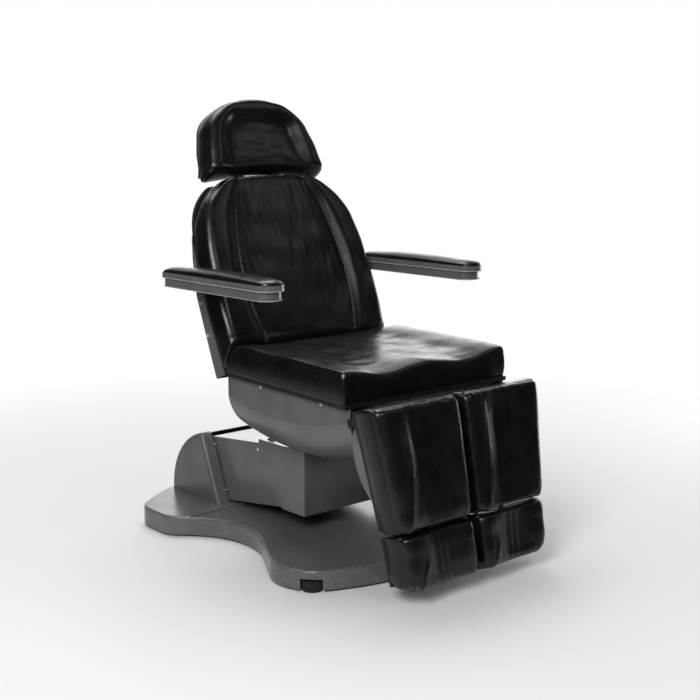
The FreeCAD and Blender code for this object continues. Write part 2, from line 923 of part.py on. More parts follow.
def carriage_frame():
    x0 = carriage_plate_inner
    x1 = x0 + carriage_plate
    fy = carriage_pivot_y
    fz = carriage_pivot_z
    low = (fy, fz - link_drop)
    plate = stadium((fy, fz), low, carriage_boss, x0, x1)
    rise = stadium((neck_y, fz), (neck_y, neck_z), neck_radius, x0, x1)
    neck = stadium((neck_y, neck_z), (tilt_y, tilt_z), neck_radius, x0, x1)
    heel = stadium(low, (tilt_motor_y, tilt_motor_z), actuator_eye, x0, x1)
    plates = joined([plate, rise, neck, heel])
    plates = plates.cut(cross_rod(fy, fz, arm_shaft_radius + running_gap, x0, x1))
    plates = plates.cut(cross_rod(fy, low[1], link_shaft_radius + running_gap, x0, x1))
    plates = plates.cut(cross_rod(tilt_y, tilt_z, tilt_pin_radius + running_gap, x0, x1))
    back = carriage_front + sheet
    wide = carriage_half - sheet
    panel = block(-wide, wide, back, back + carriage_cross, carriage_cross_low, carriage_cross_high)
    web = block(x0, x1, back, neck_y, carriage_cross_low, carriage_cross_high)
    pin = cross_rod(tilt_motor_y, tilt_motor_z, actuator_pin, -x0, x0)
    return joined([panel, pin] + both(joined([plates, web])))


def carriage_shafts():
    fy = carriage_pivot_y
    fz = carriage_pivot_z
    arm_end = arm_inner + arm_width + shaft_end
    link_end = carriage_plate_inner + carriage_plate + shaft_end
    shafts = [
        cross_rod(fy, fz, arm_shaft_radius, -arm_end, arm_end),
        cross_rod(fy, fz - link_drop, link_shaft_radius, -link_end, link_end),
    ]
    return Part.makeCompound(shafts)


# Seat

def seat_level(y):
    """Height of the cushion's underside, which rises a little to the rear."""
    return seat_front_low + (y - seat_front) * math.tan(math.radians(seat_pitch))


def board_level(y):
    return seat_level(y) - seat_board


def crease(y):
    return crease_low + crease_rise * ((y - crease_low_y) / crease_reach) ** 2


def bowl_ring(y, inset, top):
    fold = crease(y)
    half = bowl_half - inset
    mid = (half - belly_mid_inset, fold - belly_mid_drop + inset)
    foot = (half - belly_foot_inset, fold - belly_foot_drop + inset)
    keel = fold - belly_keel_drop + inset
    edges = [Part.makeLine(vec(0, y, top), vec(half, y, top))]
    edges.append(Part.makeLine(vec(half, y, top), vec(half, y, fold)))
    edges.append(Part.Arc(vec(half, y, fold), vec(mid[0], y, mid[1]),
                          vec(foot[0], y, foot[1])).toShape())
    edges.append(Part.makeLine(vec(foot[0], y, foot[1]), vec(-foot[0], y, foot[1])))
    edges.append(Part.Arc(vec(-foot[0], y, foot[1]), vec(-mid[0], y, mid[1]),
                          vec(-half, y, fold)).toShape())
    edges.append(Part.makeLine(vec(-half, y, fold), vec(-half, y, top)))
    edges.append(Part.makeLine(vec(-half, y, top), vec(0, y, top)))
    return Part.Wire(edges)


def bowl_stations(rear, front):
    count = 6
    return [rear + (front - rear) * i / (count - 1) for i in range(count)]


def seat_shell():
    outer = lofted([bowl_ring(y, 0, board_level(y)) for y in bowl_stations(bowl_rear, bowl_front)])
    rings = []
    for y in bowl_stations(bowl_rear + overrun, bowl_front - overrun):
        rings.append(bowl_ring(y, bowl_wall, board_level(y) + overrun))
    shell = outer.cut(lofted(rings))
    opening = block(-bowl_opening_half, bowl_opening_half, bowl_opening_front, bowl_rear + overrun,
                    crease_low - belly_keel_drop - overrun * 2, crease_low)
    shell = shell.cut(opening)
    return max(shell.Solids, key=lambda s: s.Volume)


def shell_screws():
    heads = []
    for y, z in bowl_screw_places:
        heads += both(screw_head(vec(bowl_half, y, z), vec(1, 0, 0)))
    return Part.makeCompound(heads)


def seat_board_piece():
    half = seat_width / 2 - board_inset
    y0 = seat_front - seat_board_proud
    y1 = seat_board_rear
    points = [(y0, board_level(y0)), (y1, board_level(y1)), (y1, seat_level(y1)), (y0, seat_level(y0))]
    board = prism(points, -half, half)
    return board


def seat_ring(index):
    share = seat_station_shares[index]
    y = seat_front + share * seat_length
    low = seat_level(y)
    drop = seat_height
    bevel = seat_rear_bevel * max(0.0, 1 - (1 - share) / seat_bevel_share)

    def at(point):
        x, w = point
        return vec(x, y - bevel * w / seat_height, low + w)

    half = seat_width / 2
    if index in (0, len(seat_station_shares) - 1):
        half = half - board_inset / 2
    return seat_ring_wire(half, drop, index, at)


def seat_ring_wire(half, height, index, at):
    """Bolsters at the sides, a hollow each side of a low centre ridge."""
    bolster = height * seat_bolster_shares[index]
    hollow = height * seat_hollow_shares[index]
    centre = height * seat_centre_shares[index]
    edge = height * 0.90
    draw = board_inset
    side = [
        (-half + draw, 0.0),
        (-half, height * 0.45),
        (-half + draw * 0.8, edge),
        (-half * 0.90, bolster),
        (-half * 0.76, (bolster * 2 + hollow) / 3),
        (-half * 0.60, hollow + (bolster - hollow) * 0.12),
        (-half * 0.43, hollow),
        (-half * 0.22, (hollow + centre) / 2),
    ]
    points = side + [(0.0, centre)] + [(-x, w) for x, w in reversed(side)]
    return ring_wire(points, at)


def seat_cushion():
    rings = [seat_ring(i) for i in range(len(seat_station_shares))]
    return lofted(rings)


def back_hinge():
    return lean_point(back_hinge_depth, back_hinge_up, back_y, back_z, back_lean)


def seat_frame():
    hy, hz = back_hinge()
    x0 = seat_plate_inner
    x1 = x0 + seat_plate
    top_rear = board_level(bowl_rear)
    top_front = board_level(seat_front)
    y0 = seat_front - seat_board_proud
    body = prism([(y0, top_front - seat_plate_depth), (bowl_rear, top_rear - seat_plate_depth),
                  (bowl_rear, top_rear), (y0, top_front)], x0, x1)
    rear_lug = stadium((bowl_rear - lug_radius, top_rear - lug_radius * 1.4), (hy, hz), lug_radius,
                       x0, x1)
    front_lug = stadium((seat_front + lug_radius * 2, top_front - lug_radius * 1.5),
                        (leg_hinge_y, leg_hinge_z), lug_radius - seat_board_proud, x0, x1)
    side = joined([body, rear_lug, front_lug])
    side = side.cut(above_frame())
    side = side.cut(cross_rod(hy, hz, back_pin_radius + running_gap, x0, x1))
    side = side.cut(cross_rod(leg_hinge_y, leg_hinge_z, leg_pin_radius + running_gap, x0, x1))
    shapes = both(side)
    for y in seat_cross_places:
        z = board_level(y) - seat_cross_drop
        bar = cross_rod(y, z, seat_cross_radius, -x0, x0)
        shapes.append(bar.cut(cross_rod(y, z, seat_cross_radius - seat_cross_wall, -x0, x0)))
    shapes += hanger(back_motor_x, back_motor_y, back_motor_z, seat_cross_places[0])
    shapes += hanger(leg_motor_x, leg_motor_y, leg_motor_z, seat_cross_places[1])
    shapes += hanger(tilt_motor_x, tilt_pin_y, tilt_pin_z, seat_cross_places[1])
    shapes += both(tilt_lug_plate().cut(above_frame()))
    return joined(shapes)


def above_frame():
    """The room that the seat's board takes up over the frame."""
    y0 = seat_front - seat_board_proud
    y1 = bowl_rear
    points = [(y0, board_level(y0)), (y1, board_level(y1)), (y1, board_level(y1) + overrun * 2),
              (y0, board_level(y0) + overrun * 2)]
    return prism(points, -bowl_half, bowl_half)


def hanger(x, y, z, tube_y):
    """Two plates under a cross tube that hold an actuator's pin."""
    tube = (tube_y, board_level(tube_y) - seat_cross_drop)
    return lever_pair(x, tube, (y, z), actuator_pin, seat_cross_radius - seat_cross_wall)


def tilt_lug_plate():
    """Hangs from the rear cross tube to the tilt pin, and outward to the side plate."""
    x0 = tilt_lug_inner
    x1 = x0 + tilt_lug
    y = seat_cross_places[2]
    z = board_level(y) - seat_cross_drop
    lug = stadium((tilt_y, tilt_z), (y, z), lug_radius + arm_wall, x0, x1)
    lug = lug.cut(cross_rod(y, z, seat_cross_radius - seat_cross_wall, x0, x1))
    return lug.cut(cross_rod(tilt_y, tilt_z, tilt_pin_radius + running_gap, x0, x1))


def tilt_pins():
    x0 = carriage_plate_inner - shaft_end
    x1 = tilt_lug_inner + tilt_lug + shaft_end
    return Part.makeCompound(both(cross_rod(tilt_y, tilt_z, tilt_pin_radius, x0, x1)))


# Backrest, drawn upright: y is the depth behind the front plane, z the height up it

def set_back(shape):
    return leaned(shape, back_y, back_z, back_lean)


def back_ring(index):
    share = back_station_shares[index]
    up = share * (back_height - back_low) + back_low
    outer = back_half_width * back_width_shares[index]
    panel = back_half_width * back_panel_shares[index]
    bolster = back_foam * back_bolster_shares[index]
    hollow = back_foam * back_panel_depth_shares[index]
    rise = back_bevel * max(0.0, 1 - share / back_bevel_share)

    def at(point):
        x, w = point
        return vec(x, back_foam - w, up + rise * w / back_foam)

    edge = min(bolster, back_foam) * 0.84
    draw = board_inset
    mid = (outer + panel) / 2
    side = [
        (-outer + draw, 0.0),
        (-outer, edge * 0.5),
        (-outer + draw, edge),
        (-(outer * 2 + panel) / 3, bolster),
        (-mid + (outer - panel) * 0.14, (bolster * 2 + hollow) / 3),
        (-panel - (outer - panel) * 0.12, hollow + (bolster - hollow) * 0.2),
        (-panel, hollow),
        (-panel * 0.55, hollow + (bolster - hollow) * 0.05),
    ]
    centre = (0.0, hollow + (bolster - hollow) * 0.1)
    points = side + [centre] + [(-x, w) for x, w in reversed(side)]
    return ring_wire(points, at)


def back_cushion():
    rings = [back_ring(i) for i in range(len(back_station_shares))]
    return set_back(lofted(rings).cut(back_arch(0)).Solids[0])


def back_outline(inset, low, high):
    """Half of the backrest's outline, from the lowest station to the top."""
    right = []
    for share, wide in zip(back_station_shares, back_width_shares):
        up = share * (back_height - back_low) + back_low
        if low < up < high:
            right.append((back_half_width * wide - inset, up))
    return right


def back_board_piece():
    """A flat board with the backrest's outline, drawn a little in."""
    low = back_low + board_inset * 3
    high = back_height - board_inset
    right = back_outline(board_inset * 1.5, low, high)
    points = [vec(x, 0, z) for x, z in right]
    points = [vec(right[0][0], 0, low)] + points
    points += [vec(back_half_width * back_width_shares[-1] - board_inset, 0, high)]
    curve = Part.BSplineCurve()
    curve.interpolate(points)
    mirror = Part.BSplineCurve()
    mirror.interpolate([vec(-p.x, 0, p.z) for p in points])
    edges = [curve.toShape(), Part.makeLine(points[-1], vec(-points[-1].x, 0, points[-1].z)),
             mirror.toShape(), Part.makeLine(vec(-points[0].x, 0, points[0].z), points[0])]
    face = Part.Face(Part.Wire(Part.__sortEdges__(edges)))
    board = face.extrude(vec(0, back_board, 0))
    board.translate(vec(0, back_foam, 0))
    return set_back(board.cut(back_arch(board_inset)).Solids[0])


def shell_side(inset, drop):
    front = back_foam + back_board
    return [
        (front, back_shell_low - drop),
        (back_shell_corner_depth - inset, back_shell_low - drop),
        (back_shell_corner_depth - inset, 0.0),
        (back_shell_mid_depth - inset, back_shell_mid_up),
        (back_shell_upper_depth - inset, back_shell_upper_up),
        (front, back_shell_top - inset * 2),
    ]


def back_shell():
    outer = prism(shell_side(0, 0), -back_shell_half, back_shell_half)
    outer = fillet_where(outer, back_shell_edge, lambda e: shell_rim_edge(e, back_shell_half))
    half = back_shell_half - back_shell_wall
    inner = prism(shell_side(back_shell_wall, overrun), -half, half)
    inner = fillet_where(inner, back_shell_edge - back_shell_wall, lambda e: shell_rim_edge(e, half))
    shell = outer.cut(inner)
    hole = cross_rod(arm_axle_depth, arm_axle_up, arm_axle_tube + face_gap,
                     -back_shell_half - overrun, back_shell_half + overrun)
    half = spine_half + face_gap * 4
    notch = block(-half, half, back_foam, back_shell_corner_depth, spine_notch, back_shell_top + overrun)
    return set_back(max(shell.cut(hole).cut(notch).Solids, key=lambda s: s.Volume))


def shell_rim_edge(edge, half):
    box = edge.BoundBox
    on_side = box.XLength < running_gap and abs(abs(box.XMin) - half) < running_gap
    rear = box.YMin > back_foam + back_board + running_gap or box.YLength > running_gap
    level = box.ZLength < running_gap
    return on_side and rear and not level and not front_edge(box)


def front_edge(box):
    front = back_foam + back_board
    return abs(box.YMin - front) < running_gap and box.YLength < running_gap


def back_shell_screws():
    heads = []
    for up, depth in back_screw_places:
        heads += both(screw_head(vec(back_shell_half, depth, up), vec(1, 0, 0)))
    return set_back(Part.makeCompound(heads))


def back_frame():
    front = back_foam + back_board
    depth = back_hinge_depth
    up = back_hinge_up
    ear = seat_plate_inner - back_plate_gap
    x0 = seat_plate_inner + seat_plate + back_plate_gap
    x1 = x0 + back_plate
    tube = cross_rod(depth, up, back_tube_radius, -ear, ear)
    pin = cross_rod(depth, up, back_pin_radius, -x1, x1)
    strip = block(x0, x1, front, front + back_plate_width, up, back_plate_top)
    foot = cross_rod(depth, up, back_tube_radius, x0, x1)
    axle_tube = cross_rod(arm_axle_depth, arm_axle_up, arm_axle_tube, -back_shell_half - overrun,
                          back_shell_half + overrun)
    reach = arm_centre_x + arm_bar_width / 2
    axle = cross_rod(arm_axle_depth, arm_axle_up, arm_axle_radius, -reach, reach)
    socket = block(post_offset - post_radius * 2, post_offset + post_radius * 2, front,
                   post_depth + post_radius + post_wall, post_socket_low, post_socket_top)
    spine = block(-spine_half, spine_half, front, front + spine_thick,
                  back_plate_top - back_plate_width, post_socket_top)
    bore = rod(vec(post_offset, post_depth, post_socket_low - overrun),
               vec(post_offset, post_depth, post_socket_top + overrun), post_radius + running_gap)
    bar = block(-x0, x0, front, front + back_board, back_plate_top - back_plate_width, back_plate_top)
    shapes = [tube, pin, axle_tube, axle, bar, spine] + both(joined([strip, foot])) + both(socket)
    frame = joined(shapes)
    for hole in both(bore):
        frame = frame.cut(hole)
    frame = set_back(frame)
    return joined([frame] + back_lever())


def lever_pair(centre_x, pivot, pin, pin_radius, hub_radius):
    """Two plates side by side that carry the actuator's front pin between them."""
    gap = actuator_eye_width / 2 + lever_gap
    plates = []
    for x0 in (centre_x - gap - lever_plate, centre_x + gap):
        plate = stadium(pivot, pin, lever_radius, x0, x0 + lever_plate)
        plates.append(plate.cut(cross_rod(pivot[0], pivot[1], hub_radius, x0, x0 + lever_plate)))
    bolt = cross_rod(pin[0], pin[1], pin_radius, centre_x - gap - lever_plate,
                     centre_x + gap + lever_plate)
    return plates + [bolt]


def back_pin():
    hy, hz = back_hinge()
    return (hy + back_lever_y, hz + back_lever_z)


def back_lever():
    return lever_pair(back_motor_x, back_hinge(), back_pin(), actuator_pin,
                      back_tube_radius - arm_wall)


# Headrest, drawn in the backrest's plane

def headrest_posts():
    tip = post_hinge_up
    post = rod(vec(post_offset, post_depth, post_low), vec(post_offset, post_depth, strap_up),
               post_radius)
    strap = block(-strap_half, strap_half, strap_front, strap_rear + strap_thick,
                  strap_up - strap_thick / 2, strap_up + strap_thick / 2)
    lug = stadium((post_depth + strap_thick, tip), (post_depth + strap_thick, strap_up),
                  head_hinge_radius, post_offset - post_radius, post_offset + post_radius)
    pin = cross_rod(post_depth + strap_thick, tip, head_hinge_radius / 2, -strap_half, strap_half)
    return set_back(joined([strap, pin] + both(post) + both(lug)))


def head_hinge():
    return (post_depth + strap_thick, post_hinge_up)


def headrest_plate():
    """A back plate with two lugs that turn on the pin behind the cushion."""
    depth, up = head_hinge()
    rear = head_front_depth + head_foam + head_board
    x0 = post_offset - post_radius - head_lug_width - face_gap
    x1 = x0 + head_lug_width
    lug = stadium((depth, up), (depth, up + head_lug_radius * 3), head_hinge_radius, x0, x1)
    web = block(x0, x1, rear, depth, up + head_lug_radius, up + head_lug_radius * 4)
    plate = block(-strap_half, strap_half, rear, rear + strap_thick, up + head_lug_radius,
                  up + head_height / 2)
    whole = joined([plate] + both(joined([lug, web])))
    bore = cross_rod(depth, up, head_hinge_radius / 2 + running_gap, -strap_half - overrun,
                     strap_half + overrun)
    return set_back(whole.cut(bore))


def head_ring(index):
    share = head_station_shares[index]
    up = head_low - head_arch_rise + share * (head_height + head_arch_rise)
    outer = head_half_width * head_width_shares[index]
    dish = outer * head_dish_shares[index]
    rim = head_foam * head_rim_shares[index]
    floor = head_foam * head_floor_shares[index]

    def at(point):
        x, w = point
        return vec(x, head_front_depth + head_foam - w, up)

    edge = min(rim, head_foam) * 0.80
    draw = board_inset
    side = [
        (-outer + draw, 0.0),
        (-outer, edge * 0.5),
        (-outer + draw, edge),
        (-(outer + dish) / 2 - draw, rim),
        (-dish, (rim + floor) / 2),
        (-dish * 0.86, floor + (rim - floor) * 0.12),
        (-dish * 0.70, floor),
        (-dish * 0.35, floor - (rim - floor) * 0.03 - running_gap),
    ]
    centre = (0.0, floor - (rim - floor) * 0.04 - running_gap)
    points = side + [centre] + [(-x, w) for x, w in reversed(side)]
    return ring_wire(points, at)


def arch(crown_up, far_up, slope):
    """What lies between an arched line across the back and a level far above or below it."""
    half = arch_half
    y0 = head_front_depth - overrun
    y1 = post_depth + overrun
    crown_up += (head_front_depth + head_foam - y0) * slope
    low = crown_up - arch_drop
    crown = Part.Arc(vec(-half, y0, low), vec(0, y0, crown_up), vec(half, y0, low)).toShape()
    lines = [
        Part.makeLine(vec(half, y0, low), vec(half, y0, far_up)),
        Part.makeLine(vec(half, y0, far_up), vec(-half, y0, far_up)),
        Part.makeLine(vec(-half, y0, far_up), vec(-half, y0, low)),
    ]
    return Part.Face(Part.Wire([crown] + lines)).extrude(vec(0, y1 - y0, (y0 - y1) * slope))


def head_arch():
    return arch(head_low, head_low - arch_drop * 4, math.tan(math.radians(head_undercut)))


def back_arch(inset):
    return arch(head_low - head_gap - inset, back_height + arch_drop * 2, 0)


def headrest_cushion():
    rings = [head_ring(i) for i in range(len(head_station_shares))]
    return set_back(lofted(rings).cut(head_arch()).Solids[0])


def headrest_board():
    """The board behind the headrest's foam, with the same outline drawn in."""
    points = []
    for share, wide in zip(head_station_shares, head_width_shares):
        up = head_low - head_arch_rise + share * (head_height + head_arch_rise - board_inset)
        points.append(vec(head_half_width * wide - board_inset * 1.5, 0, up))
    curve = Part.BSplineCurve()
    curve.interpolate(points)
    mirror = Part.BSplineCurve()
    mirror.interpolate([vec(-p.x, 0, p.z) for p in points])
    edges = [curve.toShape(), Part.makeLine(points[-1], vec(-points[-1].x, 0, points[-1].z)),
             mirror.toShape(), Part.makeLine(vec(-points[0].x, 0, points[0].z), points[0])]
    face = Part.Face(Part.Wire(Part.__sortEdges__(edges)))
    board = face.extrude(vec(0, head_board, 0))
    board.translate(vec(0, head_front_depth + head_foam, 0))
    below = block(-arch_half, arch_half, head_front_depth, post_depth, head_low - arch_drop * 2,
                  head_low + board_inset)
    return set_back(board.cut(below).Solids[0])


# Armrests, drawn on the +x side

def arm_plan(inset, low, high, tip):
    x0 = arm_centre_x - arm_full_width / 2 + inset
    x1 = arm_centre_x + arm_full_width / 2 - inset
    radius = arm_tip_radius - inset
    small = arm_rear_radius
    corners = [(x0, tip + inset, radius), (x1, tip + inset, radius),
               (x1, arm_rear - inset, small), (x0, arm_rear - inset, small)]
    wire = rounded_wire(corners, lambda p: vec(p.x, p.y, low))
    return Part.Face(wire).extrude(vec(0, 0, high - low))


def arm_axle():
    return lean_point(arm_axle_depth, arm_axle_up, back_y, back_z, back_lean)


def armrest_bar():
    y, z = arm_axle()
    low = z - arm_bar_height / 2
    half = arm_bar_width / 2
    bar = block(arm_centre_x - half, arm_centre_x + half, arm_bar_front, y, low,
                low + arm_bar_height)
    boss = cross_rod(y, z, arm_bar_height / 2 + arm_wall, arm_centre_x - half, arm_centre_x + half)
    whole = joined([bar, boss])
    return whole.cut(cross_rod(y, z, arm_axle_radius + running_gap, arm_centre_x - half,
                               arm_centre_x + half))


def armrest_shell():
    """The moulded arm: a slim body under a wider ledge, hollowed for the bar."""
    body = arm_plan(arm_body_inset, arm_body_low, arm_ledge_low, arm_tip + arm_body_inset)
    body = fillet_where(body, cover_wall, lambda e: flat_edge(e, arm_body_low))
    ledge = arm_plan(0, arm_ledge_low, arm_pad_low, arm_tip)
    y, z = arm_axle()
    half = arm_bar_width / 2
    gap = face_gap
    reach = arm_bar_height / 2 + arm_wall + gap
    slot = block(arm_centre_x - half - gap, arm_centre_x + half + gap, arm_bar_front - gap, y,
                 z - arm_bar_height / 2 - gap, z + arm_bar_height / 2 + gap)
    boss = cross_rod(y, z, reach, arm_centre_x - half - gap, arm_centre_x + half + gap)
    way_in = cross_rod(y, z, arm_axle_radius + gap, arm_centre_x - arm_full_width,
                       arm_centre_x)
    return joined([body, ledge]).cut(slot).cut(boss).cut(way_in)


def arc_radius(half_chord, rise):
    return (half_chord * half_chord + rise * rise) / (rise * 2)


def pad_dome():
    """Everything below a surface that is crowned across the arm and arched along it."""
    half = arm_full_width / 2
    middle = (arm_tip + arm_rear) / 2
    along = arc_radius((arm_rear - arm_tip) / 2, arm_pad_arch)
    low = arm_pad_low - overrun
    edge = arm_pad_top - arm_pad_crown
    a = vec(arm_centre_x - half, middle, low)
    b = vec(arm_centre_x - half, middle, edge)
    c = vec(arm_centre_x + half, middle, edge)
    d = vec(arm_centre_x + half, middle, low)
    crown = Part.Arc(b, vec(arm_centre_x, middle, arm_pad_top), c).toShape()
    sides = [Part.makeLine(a, b), crown, Part.makeLine(c, d), Part.makeLine(d, a)]
    face = Part.Face(Part.Wire(sides))
    reach = math.degrees(math.asin((arm_rear - arm_tip) / 2 / along)) * 1.2
    axis = vec(arm_centre_x, middle, arm_pad_top - along)
    face.rotate(axis, vec(1, 0, 0), -reach)
    return face.revolve(axis, vec(1, 0, 0), reach * 2)


def armrest_pad():
    """An upholstered pad: a low dome."""
    pad = arm_plan(arm_pad_draw, arm_pad_low, arm_pad_top + overrun, arm_tip)
    return pad.common(pad_dome()).Solids[0]


# Leg rest, drawn upright: y is the depth behind the front plane, z is minus the way down

def set_leg(shape):
    return leaned(shape, leg_y, leg_z, 90 - leg_drop_angle)


def leg_ring(along, outer, side, hollow, draw):
    def at(point):
        x, w = point
        return vec(x, leg_foam - w * draw, -along)

    return cushion_ring(outer, leg_inner, board_inset, leg_foam * side, leg_foam * side,
                        leg_foam * hollow, leg_bolster_share, at)


def leg_cushion():
    rings = []
    for i, share in enumerate(leg_station_shares):
        along = share * leg_length
        outer = leg_outer_top + (leg_outer_low - leg_outer_top) * share
        rings.append(leg_ring(along, outer, leg_side_shares[i], leg_hollow_shares[i], 1.0))
    return set_leg(lofted(rings))


def foot_cushion():
    rings = []
    start = leg_length + leg_foot_gap
    for i, share in enumerate(foot_station_shares):
        along = start + share * foot_length
        outer = foot_outer_top + (foot_outer_low - foot_outer_top) * share
        outer = leg_inner + (outer - leg_inner) * foot_draw_shares[i]
        rings.append(leg_ring(along, outer, foot_side_shares[i], foot_hollow_shares[i], 1.0))
    return set_leg(lofted(rings))


def leg_outer(along):
    share = along / leg_length
    return leg_outer_top + (leg_outer_low - leg_outer_top) * share


def board_between(top, low, outer_top, outer_low, depth, thick):
    inset = board_inset
    points = [vec(leg_inner + inset, depth, -top - inset), vec(outer_top - inset, depth, -top - inset),
              vec(outer_low - inset, depth, -low + inset), vec(leg_inner + inset, depth, -low + inset)]
    face = Part.Face(Part.makePolygon(points + points[:1]))
    return set_leg(face.extrude(vec(0, thick, 0)))


def leg_board_piece():
    return board_between(0, leg_length, leg_outer_top, leg_outer_low, leg_foam, leg_board)


def foot_board_piece():
    start = leg_length + leg_foot_gap
    return board_between(start, start + foot_length * foot_station_shares[-2], foot_outer_top,
                         foot_outer_low, leg_foam, leg_board)


def guide_places():
    return [share * leg_outer_low for share in guide_place_shares]


def leg_rail():
    """The steel plate behind the leg's board, with the two guide tubes of the foot section."""
    depth = leg_foam + leg_board
    edge = rail_plate_edge
    points = [vec(leg_inner + edge, depth, -edge), vec(leg_outer(edge) - rail_plate_rim, depth, -edge),
              vec(leg_outer(leg_length) - edge, depth, -leg_length + edge),
              vec(leg_inner + edge, depth, -leg_length + edge)]
    plate = Part.Face(Part.makePolygon(points + points[:1])).extrude(vec(0, rail_plate, 0))
    shapes = [plate]
    centre = depth + guide_depth
    for x in guide_places():
        shapes.append(rod(vec(x, centre, -guide_top), vec(x, centre, guide_end_inset - leg_length),
                          guide_radius))
    whole = joined(shapes)
    for x in guide_places():
        bore = rod(vec(x, centre, overrun - guide_top), vec(x, centre, -leg_length - overrun),
                   guide_rod_radius + running_gap)
        whole = whole.cut(bore)
    pivot = rod(vec(swivel_x, depth - overrun, -swivel_along), vec(swivel_x, depth + overrun, -swivel_along),
                swivel_radius + running_gap)
    return set_leg(whole.cut(pivot))


def leg_shell_side(inset, reach):
    """The shell's side view: a shoulder at the top and a long belly, open at the front."""
    depth = leg_foam + leg_board + rail_plate
    top = leg_shell_top + inset
    low = leg_shell_low - inset * 3
    shoulder = vec(0, depth + leg_shell_shoulder - inset, -top)
    belly = vec(0, depth + leg_shell_belly - inset, -leg_shell_belly_along)
    foot = vec(0, depth, -low)
    front = [vec(0, depth - reach, -low), vec(0, depth - reach, -top)] if reach else [vec(0, depth, -top)]
    edges = [Part.Arc(shoulder, belly, foot).toShape()]
    for start, end in zip([foot] + front, front + [shoulder]):
        edges.append(Part.makeLine(start, end))
    return Part.Face(Part.Wire(edges))


def leg_shell_form(inset, reach):
    """That side view carried across, cut to the leg's taper on the outer side."""
    x0 = leg_inner + leg_shell_inset + inset
    form = leg_shell_side(inset, reach).extrude(vec(leg_outer_top - x0, 0, 0))
    form.translate(vec(x0, 0, 0))
    side = leg_shell_inset + inset
    far = leg_outer_top + overrun
    taper = [vec(leg_outer(0) - side, 0, 0), vec(leg_outer(leg_length) - side, 0, -leg_length),
             vec(far, 0, -leg_length), vec(far, 0, 0)]
    wedge = Part.Face(Part.makePolygon(taper + taper[:1])).extrude(vec(0, leg_foam * 2, 0))
    return form.cut(wedge)


def leg_shell():
    """The boat-shaped cover over the guide tubes."""
    outer = leg_shell_form(0, 0)
    outer = fillet_where(outer, leg_shell_edge, leg_shell_rim)
    shell = outer.cut(leg_shell_form(leg_shell_wall, leg_shell_wall))
    centre = leg_foam + leg_board + guide_depth
    for x in guide_places():
        hole = rod(vec(x, centre, -leg_shell_belly_along), vec(x, centre, -leg_length),
                   guide_radius + face_gap)
        shell = shell.cut(hole)
    return set_leg(max(shell.Solids, key=lambda s: s.Volume))


def leg_shell_rim(edge):
    box = edge.BoundBox
    x0 = leg_inner + leg_shell_inset
    return abs(box.XMin - x0) < running_gap and box.XLength < running_gap and box.YLength > leg_shell_edge


def foot_rail():
    """The foot section's plate with its two sliding tubes."""
    depth = leg_foam + leg_board
    start = leg_length + leg_foot_gap
    low = start + foot_length * foot_station_shares[-2]
    edge = rail_plate_edge
    plate = block(leg_inner + edge, foot_outer_low - edge, depth, depth + rail_plate,
                  -low + edge, -start - edge)
    centre = depth + guide_depth
    shapes = [plate]
    for x in guide_places():
        block_top = -leg_length - foot_block_start
        block_low = block_top - foot_block_length
        shapes.append(rod(vec(x, centre, rod_reach - leg_length), vec(x, centre, block_low),
                          guide_rod_radius))
        shapes.append(block(x - guide_radius, x + guide_radius, depth, centre + guide_radius,
                            block_low, block_top))
    return set_leg(joined(shapes))


def leg_frame():
    depth = leg_foam + leg_board + rail_plate + face_gap
    ear = seat_plate_inner - back_plate_gap
    end = seat_plate_inner + seat_plate + shaft_end
    tube = cross_rod(leg_hinge_y, leg_hinge_z, leg_tube_radius, -ear, ear)
    pin = cross_rod(leg_hinge_y, leg_hinge_z, leg_pin_radius, -end, end)
    wide = swivel_x + swivel_radius + arm_wall
    bar = block(leg_bar_split, wide, depth, depth + leg_bar_depth, -leg_bar_low, -leg_bar_up)
    swivel = rod(vec(swivel_x, leg_foam + leg_board + face_gap, -swivel_along),
                 vec(swivel_x, depth + leg_bar_depth, -swivel_along), swivel_radius)
    parts = both(bar) + both(swivel)
    for share in leg_gusset_shares:
        x = share * leg_outer_top
        parts += both(block(x, x + leg_gusset, depth, depth + leg_bar_depth, -leg_bar_low, 0))
    frame = set_leg(joined(parts))
    levers = lever_pair(leg_motor_x, (leg_hinge_y, leg_hinge_z), leg_pin(), actuator_pin,
                        leg_tube_radius - arm_wall)
    return joined([frame, tube, pin] + levers)


def leg_pin():
    return (leg_hinge_y + leg_lever_y, leg_hinge_z + leg_lever_z)


# Linear actuators

